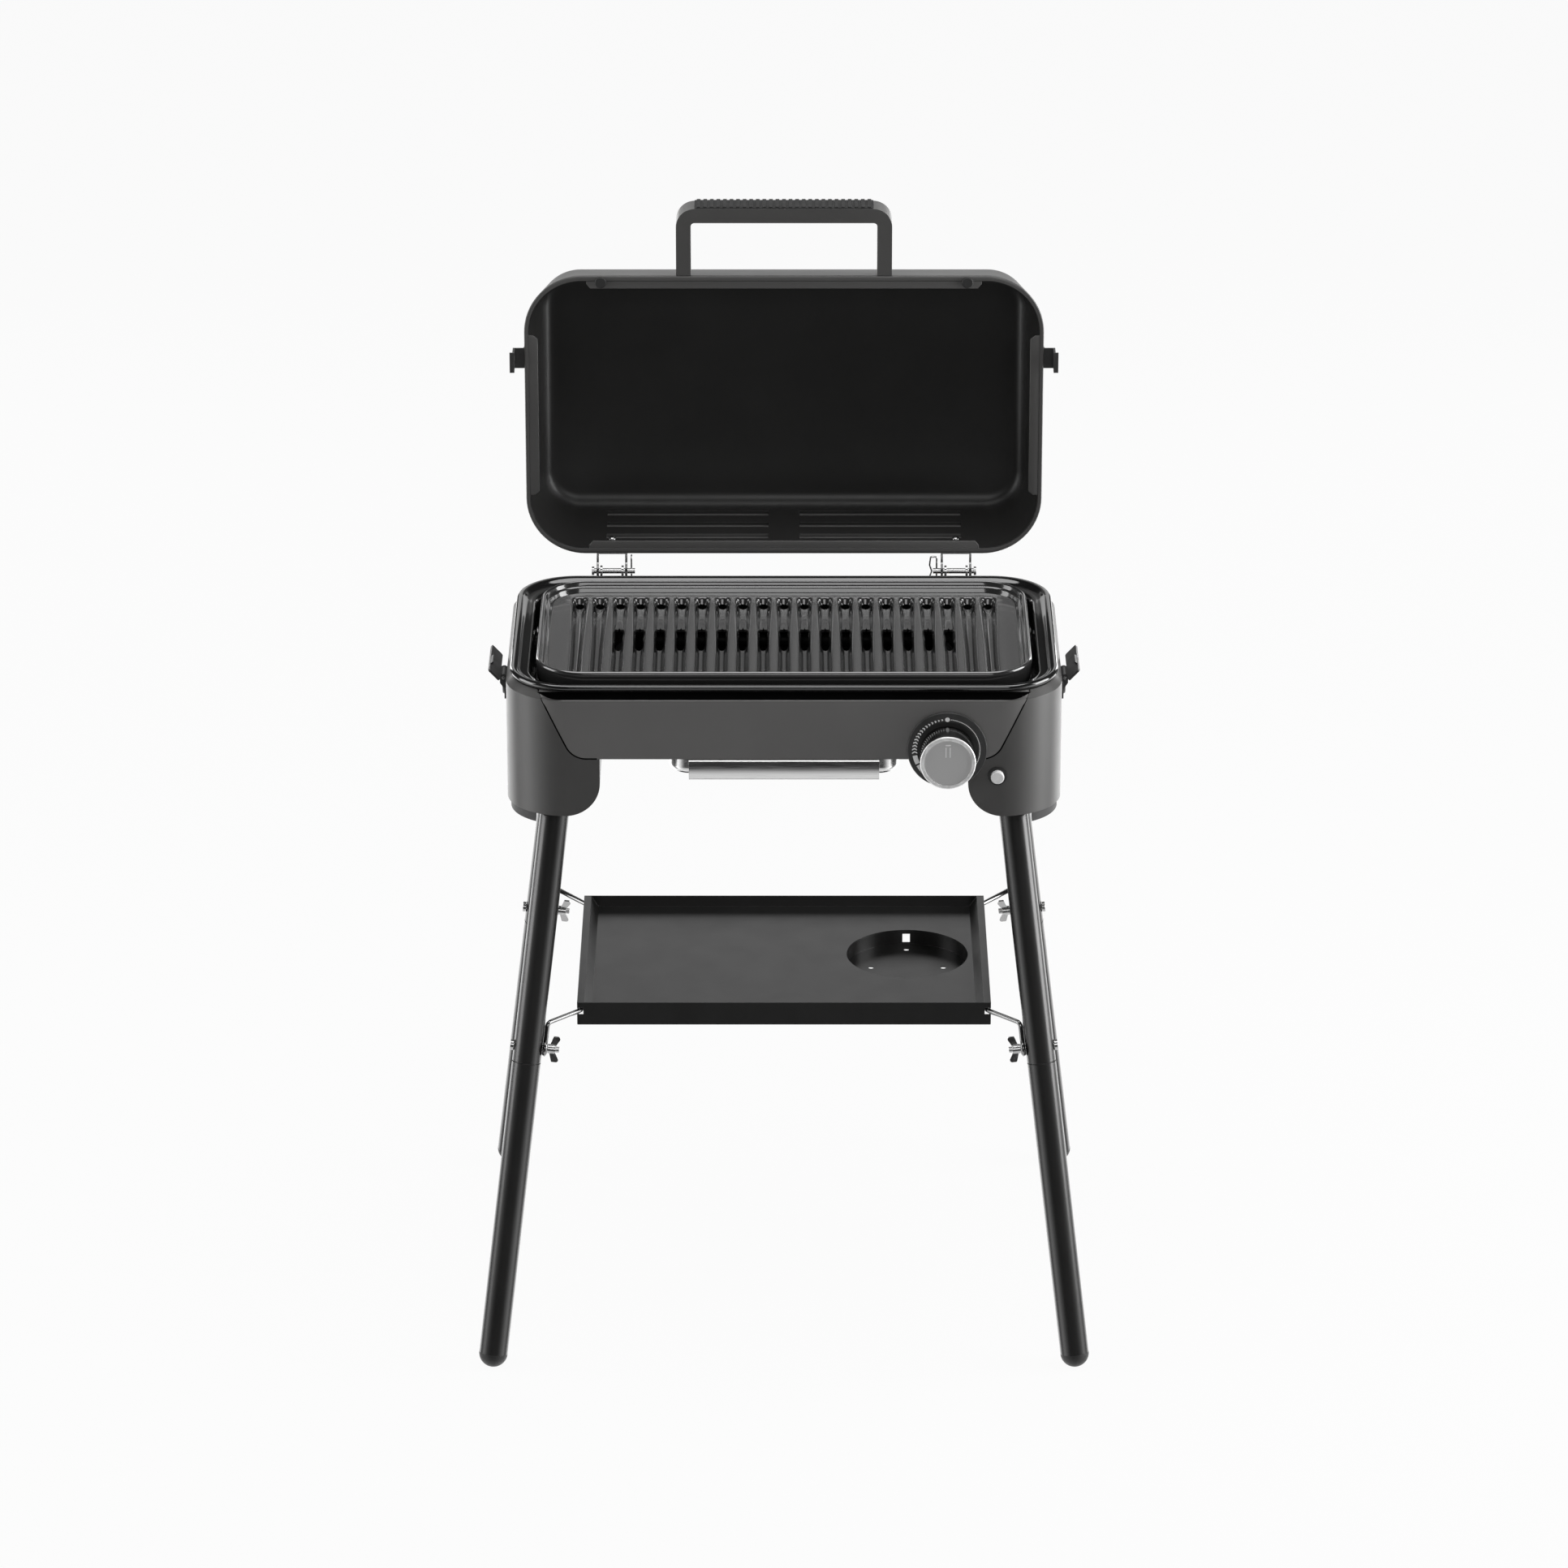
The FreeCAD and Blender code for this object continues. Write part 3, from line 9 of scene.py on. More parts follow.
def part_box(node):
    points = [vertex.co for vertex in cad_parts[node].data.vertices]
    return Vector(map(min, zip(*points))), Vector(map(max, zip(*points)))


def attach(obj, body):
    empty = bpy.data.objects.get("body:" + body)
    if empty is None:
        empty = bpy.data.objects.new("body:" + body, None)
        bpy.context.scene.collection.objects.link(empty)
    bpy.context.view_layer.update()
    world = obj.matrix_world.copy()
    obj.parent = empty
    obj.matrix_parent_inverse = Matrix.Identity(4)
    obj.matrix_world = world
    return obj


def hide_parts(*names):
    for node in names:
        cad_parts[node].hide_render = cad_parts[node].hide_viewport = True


# The looks of a camp gas grill: materials on the CAD pieces, and finer meshes for the pan, the
# cooking plate, the lid, the drawer's handle and the dial's print.  Lengths in the shape code are
# millimetres, and MM makes metres of them.

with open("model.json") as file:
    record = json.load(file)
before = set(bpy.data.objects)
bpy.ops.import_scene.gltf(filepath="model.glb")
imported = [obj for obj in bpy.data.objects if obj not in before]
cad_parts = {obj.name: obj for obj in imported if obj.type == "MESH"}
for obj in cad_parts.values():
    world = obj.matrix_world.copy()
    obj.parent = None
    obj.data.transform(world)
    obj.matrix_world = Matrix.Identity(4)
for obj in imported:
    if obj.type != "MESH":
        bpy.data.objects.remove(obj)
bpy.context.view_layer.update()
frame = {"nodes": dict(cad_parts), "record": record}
MM = 0.001


# ---------------------------------------------------------------- node materials

# where a Mix node keeps its share and its two colours, and the mixed colour
MIX_COLOUR_INPUTS = (0, 6, 7)
MIX_COLOUR_OUTPUT = 2


class Shader:
    """A node tree under construction: Principled BSDF with helpers to wire inputs."""

    def __init__(self, name, roughness, metallic=0.0):
        self.material = bpy.data.materials.new(name)
        self.material.use_nodes = True
        self.tree = self.material.node_tree
        self.body = self.tree.nodes["Principled BSDF"]
        self.body.inputs["Metallic"].default_value = metallic
        self.body.inputs["Roughness"].default_value = roughness
        self.place = self.tree.nodes.new("ShaderNodeTexCoord").outputs["Object"]

    def add(self, kind, **settings):
        node = self.tree.nodes.new("ShaderNode" + kind)
        for key, value in settings.items():
            setattr(node, key, value)
        return node

    def link(self, source, target):
        self.tree.links.new(source, target)

    def noise(self, scale, detail=4.0, stretch=None):
        """Noise in object space; scale is features per metre, stretch scales the three axes."""
        texture = self.add("TexNoise")
        texture.inputs["Scale"].default_value = scale
        texture.inputs["Detail"].default_value = detail
        source = self.place
        if stretch is not None:
            mapping = self.add("Mapping")
            mapping.inputs["Scale"].default_value = stretch
            self.link(source, mapping.inputs["Vector"])
            source = mapping.outputs["Vector"]
        self.link(source, texture.inputs["Vector"])
        return texture.outputs["Fac"]

    def ramp(self, source, low, high, start=0.3, end=0.7):
        """Maps a value to a grey between low and high."""
        ramp = self.add("MapRange")
        ramp.inputs["From Min"].default_value = start
        ramp.inputs["From Max"].default_value = end
        ramp.inputs["To Min"].default_value = low
        ramp.inputs["To Max"].default_value = high
        self.link(source, ramp.inputs["Value"])
        return ramp.outputs["Result"]

    def colour(self, source, dark, light, start=0.3, end=0.7):
        """Base colour that drifts between two colours with a value."""
        mix = self.add("Mix", data_type="RGBA")
        share, first, second = (mix.inputs[index] for index in MIX_COLOUR_INPUTS)
        first.default_value = (*dark, 1)
        second.default_value = (*light, 1)
        self.link(self.ramp(source, 0, 1, start, end), share)
        self.link(mix.outputs[MIX_COLOUR_OUTPUT], self.body.inputs["Base Color"])

    def rough(self, source, low, high):
        self.link(self.ramp(source, low, high), self.body.inputs["Roughness"])

    def bump(self, source, height, strength=1.0, edge=None):
        """Bump of a height in millimetres, over edges rounded by a radius in millimetres."""
        bump = self.add("Bump")
        bump.inputs["Strength"].default_value = strength
        bump.inputs["Distance"].default_value = height * MM
        self.link(source, bump.inputs["Height"])
        if edge is not None:
            bevel = self.add("Bevel", samples=4)
            bevel.inputs["Radius"].default_value = edge * MM
            self.link(bevel.outputs["Normal"], bump.inputs["Normal"])
        self.link(bump.outputs["Normal"], self.body.inputs["Normal"])


def enamel(name, dark, light, rough_low, rough_high, peel, peel_scale):
    """Vitreous enamel: deep gloss with the slight waviness of a fired coat."""
    shader = Shader(name, rough_low)
    shader.colour(shader.noise(14), dark, light)
    shader.rough(shader.noise(60, 2), rough_low, rough_high)
    shader.bump(shader.noise(peel_scale, 2), peel)
    shader.body.inputs["Coat Weight"].default_value = 0.8
    shader.body.inputs["Coat Roughness"].default_value = 0.06
    return shader.material


def ribbed_enamel(name, slope_tone, painted_lit_flat_tone, roughness):
    """The cooking plate's black enamel, with painted light: faces that turn up are coloured paler as if
    lit from above, and every slope stays deep black.
    """
    shader = Shader(name, roughness)
    split = shader.add("SeparateXYZ")
    shader.link(shader.add("TexCoord").outputs["Normal"], split.inputs["Vector"])
    # painted highlight: the base colour goes from the black slope tone to the paler tone as the face
    # turns up
    shader.colour(split.outputs["Z"], slope_tone, painted_lit_flat_tone, 0.8, 0.985)
    shader.rough(shader.noise(500, 3, (0.15, 1, 1)), roughness * 0.85, roughness * 1.15)
    shader.bump(shader.noise(330, 2), 0.003)
    shader.body.inputs["Coat Weight"].default_value = 1.0
    shader.body.inputs["Coat Roughness"].default_value = 0.05
    return shader.material


def powder_coat(name, dark, light, roughness, grain=0.05, edge=0.5):
    """Powder coat or moulded skin: satin, with a fine grain and a slow drift in tone."""
    shader = Shader(name, roughness)
    shader.colour(shader.noise(9, 3), dark, light)
    shader.rough(shader.noise(35, 3), roughness - 0.02, roughness + 0.02)
    shader.bump(shader.noise(1400, 3), grain, 0.5, edge)
    return shader.material


def moulded(name, dark, light, roughness, edge=0.35):
    """Injection-moulded plastic with a spark-eroded grain."""
    shader = Shader(name, roughness)
    shader.colour(shader.noise(20, 3), dark, light)
    shader.rough(shader.noise(80, 3), roughness - 0.06, roughness + 0.06)
    shader.bump(shader.noise(2200, 2), 0.04, 0.5, edge)
    return shader.material


def bright_metal(name, tint, roughness, brushed=None, edge=0.3):
    """Chrome, zinc plate, brass or brushed sheet; brushed stretches the grain along an axis."""
    shader = Shader(name, roughness, metallic=1.0)
    grain = shader.noise(900, 3, brushed) if brushed else shader.noise(180, 3)
    dark = tuple(0.86 * part for part in tint)
    shader.colour(grain, dark, tint)
    shader.rough(grain, roughness * 0.75, roughness * 1.3)
    shader.bump(grain, 0.012 if brushed else 0.006, 0.5, edge)
    return shader.material


def plain_print(name, colour):
    """Printed marking, slightly uneven like screen ink."""
    shader = Shader(name, 0.5)
    shader.colour(shader.noise(300, 2), tuple(0.9 * part for part in colour), colour)
    shader.bump(shader.noise(1200, 2), 0.01, 0.3)
    return shader.material


def grey(level, warm=0.0):
    return (level * (1 + warm), level, level * (1 - warm))


MATERIALS = {
    "pan_enamel": enamel("pan_enamel", grey(0.007), grey(0.011), 0.07, 0.12, 0.002, 60),
    # the plate's paler flat tone is painted light on the faces that turn up
    "plate_enamel": ribbed_enamel("plate_enamel", grey(0.022), grey(0.105), 0.2),
    "lid_paint": powder_coat("lid_paint", grey(0.066, 0.015), grey(0.074, 0.015), 0.36),
    "lid_inside": powder_coat("lid_inside", grey(0.015, 0.02), grey(0.019, 0.02), 0.4),
    "fascia_paint": powder_coat("fascia_paint", grey(0.125, 0.015), grey(0.137, 0.015), 0.42),
    "shell_paint": powder_coat("shell_paint", grey(0.062, 0.015), grey(0.069, 0.015), 0.34),
    "tube_paint": powder_coat("tube_paint", grey(0.018, 0.01), grey(0.021, 0.01), 0.24, 0.003),
    "shelf_paint": powder_coat("shelf_paint", grey(0.010, 0.015), grey(0.012, 0.015), 0.3, 0.012, 0.7),
    "black_plastic": moulded("black_plastic", grey(0.03), grey(0.036), 0.38),
    "knob_side": bright_metal("knob_side", grey(0.3), 0.12),
    "satin_ring": bright_metal("satin_ring", grey(0.95), 0.5),
    "rubber": moulded("rubber", grey(0.012), grey(0.016), 0.55),
    "chrome": bright_metal("chrome", grey(0.5), 0.14),
    "drawn_wire": bright_metal("drawn_wire", grey(0.26), 0.2),
    "zinc_steel": bright_metal("zinc_steel", grey(0.5), 0.24),
    "stainless": bright_metal("stainless", grey(0.7), 0.2, (0.04, 1, 1)),
    # partly the real dark of heat-burnt steel, partly painted shade: near black so the burner and heat
    # shield under the plate read as in shadow
    "burnt_steel_shade_darkened": bright_metal("burnt_steel_shade_darkened", grey(0.02), 0.6),
    "brass": bright_metal("brass", (0.72, 0.5, 0.2), 0.22),
    "ceramic": moulded("ceramic", (0.75, 0.73, 0.68), (0.82, 0.8, 0.76), 0.18),
    "knob_face": powder_coat("knob_face", grey(0.46), grey(0.5), 0.3, 0.02, 0.2),
    "button_grey": moulded("button_grey", grey(0.76), grey(0.82), 0.28),
    "print_white": plain_print("print_white", grey(0.9)),
    # near black with no shine: painted shadow in the gaps under the pan's rim, and the black of the seam
    # lines
    "shadow_and_seam_black": powder_coat("shadow_and_seam_black", grey(0.001), grey(0.002), 1.0),
}
UNLIT = MATERIALS["shadow_and_seam_black"].node_tree.nodes["Principled BSDF"]
UNLIT.inputs["Specular IOR Level"].default_value = 0
# the burner tube and heat shield get the steel darkened as painted shade
OWN_FINISH = {"burner_tube": "burnt_steel_shade_darkened", "heat_shield": "burnt_steel_shade_darkened", "knob": "knob_side",
              "igniter_housing": "rubber", "shelf_wires": "drawn_wire",
              "lid_handle": "shell_paint", "handle_grip": "rubber",
              "knob_trim_ring": "satin_ring"}


def dress_cad_nodes():
    """Gives every CAD node its procedural material, by the record's material slot."""
    slots = {part["node"]: part["material_slot"] for part in frame["record"]["subparts"]}
    for name, obj in frame["nodes"].items():
        obj.data.materials.clear()
        obj.data.materials.append(MATERIALS[OWN_FINISH.get(name, slots[name])])


# ---------------------------------------------------------------- mesh helpers

def piece(name, mesh, materials, body, replaced=()):
    """Turns a bmesh in millimetres into a finished piece that rides on a CAD body."""
    bmesh.ops.remove_doubles(mesh, verts=mesh.verts, dist=0.002)
    bmesh.ops.recalc_face_normals(mesh, faces=mesh.faces)
    data = bpy.data.meshes.new(name)
    mesh.transform(Matrix.Scale(MM, 4))
    mesh.to_mesh(data)
    mesh.free()
    for key in materials:
        data.materials.append(MATERIALS[key])
    obj = bpy.data.objects.new(name, data)
    bpy.context.scene.collection.objects.link(obj)
    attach(obj, body)
    if replaced:
        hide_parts(*replaced)
    return obj


def smooth(obj, degrees=35):
    """Smooth shading, split only where the surface turns more sharply than the angle."""
    for polygon in obj.data.polygons:
        polygon.use_smooth = True
    obj.data.set_sharp_from_angle(angle=math.radians(degrees))


def apply_modifiers(obj):
    """Bakes the modifiers into the mesh."""
    shown = obj.evaluated_get(bpy.context.evaluated_depsgraph_get())
    data = bpy.data.meshes.new_from_object(shown)
    obj.modifiers.clear()
    obj.data = data


def bevel(obj, width, segments=3, degrees=40):
    """Rounds the sharp edges of a piece by a width in millimetres."""
    modifier = obj.modifiers.new("Bevel", "BEVEL")
    modifier.width = width * MM
    modifier.segments = segments
    modifier.limit_method = "ANGLE"
    modifier.angle_limit = math.radians(degrees)
    modifier.harden_normals = False
    apply_modifiers(obj)
    smooth(obj)


def rounded_loop(half_x, half_y, radius, steps=14):
    """Points of a rounded rectangle, anticlockwise, starting at the right end of the front."""
    radius = max(radius, 0.5)
    points = []
    for corner, (side_x, side_y) in enumerate(((1, -1), (1, 1), (-1, 1), (-1, -1))):
        start = -math.pi / 2 + corner * math.pi / 2
        for step in range(steps + 1):
            angle = start + step * math.pi / 2 / steps
            points.append((side_x * (half_x - radius) + radius * math.cos(angle),
                           side_y * (half_y - radius) + radius * math.sin(angle)))
    return points


def skin(mesh, loops):
    """Quads between neighbouring loops of the same number of points."""
    rings = [[mesh.verts.new(point) for point in loop] for loop in loops]
    count = len(rings[0])
    for low, high in zip(rings, rings[1:]):
        for i in range(count):
            j = (i + 1) % count
            mesh.faces.new((low[i], low[j], high[j], high[i]))
    return rings


dress_cad_nodes()


# ---------------------------------------------------------------- drip pan

def build_drip_pan():
    """Enamelled pan: rolled rim, band sloping to the tub, tub with a drain, and a near-black sheet under
    the rim as painted shadow.
    """
    mesh = bmesh.new()
    rows = [(277, 160, 56, 717.2), (277.6, 160.6, 56.6, 722.4), (280.6, 163.6, 59.6, 723.0),
            (282.2, 165.2, 61.2, 724.2), (283.0, 166.0, 62.0, 726.2), (282.6, 165.6, 61.6, 728.0),
            (281.0, 164.0, 60.0, 729.2), (278.8, 161.8, 57.8, 729.5), (276.4, 159.4, 55.4, 728.9),
            (274.6, 157.6, 53.6, 727.4), (273.0, 156.0, 52.0, 725.6), (270.8, 153.8, 49.8, 724.4),
            (268.0, 151.0, 49.0, 723.6), (265.6, 148.6, 48.6, 723.2), (264.0, 147.0, 48.0, 722.4),
            (262.9, 145.9, 47.9, 721.0), (262.5, 145.5, 47.5, 719.0), (260.5, 143.5, 45.5, 700.0),
            (258.5, 141.5, 43.5, 684.0), (257.2, 140.2, 42.2, 680.6), (254.6, 137.6, 39.6, 678.3),
            (251.0, 134.0, 36.0, 677.5), (200.0, 96.0, 30.0, 676.6), (120.0, 50.0, 25.0, 675.6)]
    loops = [[(x, y, level) for x, y in rounded_loop(half_x, half_y, radius)]
             for half_x, half_y, radius, level in rows]
    drain = []
    for point in loops[-1]:
        angle = math.atan2(point[1], point[0])
        drain.append((15 * math.cos(angle), 15 * math.sin(angle), 675.2))
    loops.append(drain)
    skin(mesh, loops)
    obj = piece("drip_pan", mesh, ["pan_enamel"], "base", ("drip_pan",))
    thicken(obj, 1.4)
    smooth(obj, 50)
    build_rim_gap_shadow()


GAP_COLUMNS = (-253, -251, -247, -242, -237, -232, -100, 0, 100, 232, 237, 242, 247, 251, 253)
GAP_END = 253
GAP_ROUNDING = 21
GAP_DROP = 7


def build_rim_gap_shadow():
    """A near-black sheet with no shine, laid as painted shadow in the gaps between the pan's rim and the
    front and rear panels.
    """
    mesh = bmesh.new()
    for side in (-1, 1):
        previous = None
        for x in GAP_COLUMNS:
            share = min(1.0, max(0.0, (GAP_END - abs(x)) / GAP_ROUNDING))
            reach = 1 - 0.86 * math.sin(share * math.pi / 2)
            drop = GAP_DROP * (1 - reach)
            top = mesh.verts.new((x, side * 163.7, 722.5))
            low = mesh.verts.new((x, side * (164.3 + drop), 722.3 - drop))
            if previous:
                mesh.faces.new((previous[0], previous[1], low, top))
            previous = (top, low)
    # this sheet is painted shadow, black with no shine
    piece("rim_gap_shadow", mesh, ["shadow_and_seam_black"], "base")


def thicken(obj, width):
    """Gives a sheet its thickness, on the side away from its face normals."""
    modifier = obj.modifiers.new("Solidify", "SOLIDIFY")
    modifier.thickness = width * MM
    modifier.offset = -1
    modifier.use_even_offset = True
    modifier.use_quality_normals = True
    apply_modifiers(obj)


# ---------------------------------------------------------------- cooking plate

PITCH = 21.65
DECK = 722.0
GROOVE_STEPS = ((0, -8.5), (1.5, -8.3), (2.8, -7.6), (3.8, -6.2), (4.5, -4.4), (5.0, -2.7),
                (5.6, -1.3), (6.4, -0.45), (7.5, 0))
GROOVE_AXIS = 112.0
BLOCK_Y = 121.5
# grooves open out by this share, from the start over the length along y
FLARE = 0.32
FLARE_START = -40
FLARE_LENGTH = 150
# behind the middle slot the floor of a groove slopes up to the front
TONGUE_START = 38.0
TONGUE_END = 105.5
TONGUE_FLOOR = -8.2
TONGUE_RISE = 1.8
CROWN = 0.35
# each hole: start and end along y, half width, and how far its two ends are rounded
REAR_HOLE = (103.6, 115.4, 4.6, 5.5, 5.5)
FRONT_HOLE = (-104.0, -79.0, 3.6, 4.0, 4.0)
MIDDLE_SLOT = (-20.0, 38.0, 4.1, 5.0, 1.2)
GROOVES = 21


def groove_depth(distance):
    """Depth of a groove below the deck, at a distance from the groove's own axis."""
    for (near, low), (far, high) in zip(GROOVE_STEPS, GROOVE_STEPS[1:]):
        if distance <= far:
            return low + (high - low) * (distance - near) / (far - near)
    return 0.0


def hole_half_width(y, start, end, half, round_start, round_end):
    """Half width of a rounded slot that runs from start to end along y."""
    if y <= start or y >= end:
        return 0.0
    share = 1.0
    if y < start + round_start:
        share = (start + round_start - y) / round_start
    elif y > end - round_end:
        share = (y - end + round_end) / round_end
    else:
        share = 0.0
    return half * math.sqrt(max(0.0, 1 - share * share))


def groove_rows(holes):
    """The y values of a groove's grid: dense at its ends and wherever a hole starts or ends."""
    rows = {-BLOCK_Y, BLOCK_Y}
    rows.update(sign * (GROOVE_AXIS + step) for sign in (-1, 1)
                for step in (0, 1.6, 3.2, 4.4, 5.2, 6.0, 7.0, 8.2))
    rows.update(range(-105, 106, 15))
    for start, end, _half, round_start, round_end in holes:
        for share in (0, 0.02, 0.08, 0.2, 0.4, 0.7, 1):
            rows.add(start + round_start * share)
            rows.add(end - round_end * share)
    ordered = sorted(rows)
    kept = [ordered[0]]
    for y in ordered[1:]:
        if y - kept[-1] > 0.05:
            kept.append(y)
    return kept


def add_groove(mesh, middle, slotted):
    """One groove with half a rib on each side, and its drain holes."""
    holes = [REAR_HOLE, FRONT_HOLE]
    if slotted:
        holes.append(MIDDLE_SLOT)
    lines = {-1: [], 1: []}
    for y in groove_rows(holes):
        flare = 1.0 + FLARE * min(1.0, max(0.0, (y - FLARE_START) / FLARE_LENGTH))
        open_half = max(hole_half_width(y, *hole) for hole in holes)
        beyond = max(0.0, abs(y) - GROOVE_AXIS)
        for side in (-1, 1):
            line = []
            for step, _depth in GROOVE_STEPS + ((PITCH / 2, 0),):
                across = step * flare if step < 7.6 else PITCH / 2
                if open_half > 0:
                    across += open_half * max(0.0, 1 - across / 6.2)
                depth = groove_depth(math.hypot(across / flare, beyond))
                if slotted and TONGUE_START - 0.1 <= y <= TONGUE_END:
                    share = (TONGUE_END - y) / (TONGUE_END - TONGUE_START)
                    depth = max(depth, TONGUE_FLOOR + TONGUE_RISE * share)
                crown = -CROWN * (1 - math.cos(math.pi * (PITCH / 2 - across) / (PITCH / 2)))
                fade = min(1.0, max(0.0, (BLOCK_Y - abs(y)) / 8))
                level = DECK + depth + crown * fade
                line.append((middle + side * across, y, level))
            lines[side].append([mesh.verts.new(point) for point in line])
    for side in (-1, 1):
        for low, high in zip(lines[side], lines[side][1:]):
            for a, b, c, d in zip(low, low[1:], high[1:], high):
                mesh.faces.new((a, b, c, d) if side > 0 else (a, d, c, b))


def build_cooking_plate():
    """Ribbed plate: grooves with drain holes, a flat deck round them and a stepped raised rim."""
    mesh = bmesh.new()
    for index in range(GROOVES):
        add_groove(mesh, (index - 10) * PITCH, 2 <= index <= 18)
    bmesh.ops.remove_doubles(mesh, verts=mesh.verts, dist=0.003)
    half_x = GROOVES / 2 * PITCH
    border = [edge for edge in mesh.edges if edge.is_boundary
              and (all(abs(abs(v.co.x) - half_x) < 0.01 for v in edge.verts)
                   or all(abs(abs(v.co.y) - BLOCK_Y) < 0.01 for v in edge.verts))]
    for vert in {vert for edge in border for vert in edge.verts}:
        vert.co.z = DECK
    ring = [(243.5, 128.0, 33.0, 722.0), (244.8, 129.1, 34.5, 722.3), (246.0, 130.0, 36.0, 723.8),
            (246.9, 130.7, 37.2, 726.4), (247.8, 131.4, 38.4, 727.7), (249.2, 132.5, 40.0, 728.3),
            (250.3, 133.3, 41.5, 729.2), (251.2, 134.1, 42.9, 731.8), (252.2, 134.9, 44.2, 733.4),
            (253.6, 136.1, 46.0, 734.0), (255.2, 137.6, 48.0, 733.5), (256.2, 138.7, 49.3, 732.2),
            (256.5, 139.0, 50.0, 730.5), (256.0, 138.5, 49.5, 722.0), (254.5, 137.0, 48.0, 711.0)]
    rings = skin(mesh, [[(x, y, level) for x, y in rounded_loop(*row)] for *row, level in ring])
    inner = rings[0]
    loop = [mesh.edges.get((a, b)) for a, b in zip(inner, inner[1:] + inner[:1])]
    bmesh.ops.triangle_fill(mesh, use_beauty=True, use_dissolve=False, edges=border + loop,
                            normal=(0, 0, 1))
    obj = piece("cooking_plate_cast", mesh, ["plate_enamel"], "plate",
                ("cooking_plate",))
    thicken(obj, 2.4)
    smooth(obj, 42)


# ---------------------------------------------------------------- lid

LID_HALF_X = 274.5
LID_HALF_Z = 155.5
LID_CORNER = 63.0
LID_MIDDLE = 905.5
LID_RIM = 175.0
LID_DRAFT_ANGLE = 13
LID_DRAFT = math.tan(math.radians(LID_DRAFT_ANGLE))
LID_SIDE_DRAFT = 0.75
LID_TOP_INSET = 38.07
LID_DEPTH = 96.0
LID_BEND = 76
LID_SHEET = 2.5
LOUVRE_SPANS = ((-194.4, -12.2), (12.2, 194.4))
LOUVRE_STARTS = (24, 46, 68)
RIVET_X = 184
RIVET_Y = 200


def lid_loop(inset, depth):
    """A loop round the lid, drawn in by an inset, at a depth behind its rim."""
    side = LID_HALF_X - LID_SIDE_DRAFT * inset
    points = rounded_loop(side, LID_HALF_Z - inset, LID_CORNER - inset, 18)
    return [(x, LID_RIM + depth, LID_MIDDLE + z) for x, z in points]


def lid_fillet(radius, steps=8):
    """Insets and depths round the corner between the lid's walls and its top."""
    rows = []
    for step in range(steps + 1):
        angle = math.radians(LID_DRAFT_ANGLE + (90 - LID_DRAFT_ANGLE) * step / steps)
        inset = LID_TOP_INSET - radius * math.cos(angle)
        rows.append((inset, LID_BEND + radius * math.sin(angle)))
    return rows


def louvre_hood(mesh, low, high, start):
    """One hood pressed out of the wall on the hinge side, open towards the rim."""
    def wall(depth):
        return LID_MIDDLE - LID_HALF_Z + LID_DRAFT * depth
    section = ((1.8, -4.2), (3.5, -4.9), (6, -4.8), (8.5, -3.8), (10.5, -1.8), (12, 0.6))
    columns = []
    for x, share in ((low, 0.0), (low + 1.5, 0.55), (low + 4, 0.88), (low + 8, 1.0),
                     (high - 8, 1.0), (high - 4, 0.88), (high - 1.5, 0.55), (high, 0.0)):
        columns.append([mesh.verts.new((x, LID_RIM + start + along,
                                        wall(start + along) + 0.6 + (out - 0.6) * share))
                        for along, out in section])
    for left, right in zip(columns, columns[1:]):
        for a, b, c, d in zip(left, left[1:], right[1:], right):
            mesh.faces.new((a, b, c, d))


def build_lid():
    """Deep-drawn lid in its open place, with flanges at the rim and louvres by the hinges."""
    mesh = bmesh.new()
    section = [(LID_TOP_INSET + extra, LID_DEPTH) for extra in (90, 60, 25, 8)]
    section += list(reversed(lid_fillet(20)))
    section += [(LID_DRAFT * depth, depth) for depth in (60, 40, 20, 6)]
    section += [(0.25, 1.3), (0.5, 0.5), (1.2, 0.0), (5.6, 0.0), (6.3, 0.3), (6.5, 0.9)]
    section += [(6.5, 2.0), (6.2, 2.6), (4.4, 3.4), (3.6, 4.6)]
    section += [(2.57 + LID_DRAFT * depth, depth) for depth in (6, 20, 40, 60)]
    section += lid_fillet(17.5)
    section += [(LID_TOP_INSET + extra, LID_DEPTH - LID_SHEET) for extra in (8, 25, 60, 90)]
    rings = skin(mesh, [lid_loop(inset, depth) for inset, depth in section])
    for ring in (rings[0], rings[-1]):
        mesh.faces.new(ring)
    shell = piece("lid_drawn_shell", mesh, ["lid_paint", "lid_inside"], "lid",
                  ("lid_shell",))
    cutter_mesh = bmesh.new()
    hoods = bmesh.new()
    for low, high in LOUVRE_SPANS:
        for start in LOUVRE_STARTS:
            floor = LID_MIDDLE - LID_HALF_Z + LID_DRAFT * (start + 6)
            centre = Matrix.Translation(((low + high) / 2, LID_RIM + start + 6.2, floor))
            size = Matrix.Diagonal((high - low - 9, 8.4, 9, 1))
            bmesh.ops.create_cube(cutter_mesh, size=1, matrix=centre @ size)
            louvre_hood(hoods, low, high, start)
    cutter = piece("louvre_cutter", cutter_mesh, ["lid_paint"], "lid")
    cut = shell.modifiers.new("Louvres", "BOOLEAN")
    cut.operation = "DIFFERENCE"
    cut.solver = "EXACT"
    cut.object = cutter
    apply_modifiers(shell)
    bpy.data.objects.remove(cutter)
    heart = Vector((0, LID_RIM + 40, LID_MIDDLE)) * MM
    for polygon in shell.data.polygons:
        polygon.material_index = int(polygon.normal.dot(polygon.center - heart) < 0)
    smooth(shell, 40)
    pressed = piece("lid_louvre_hoods", hoods, ["lid_paint"], "lid")
    thicken(pressed, 1.0)
    smooth(pressed, 40)
    build_rim_flanges()
    build_hinge_rivets()


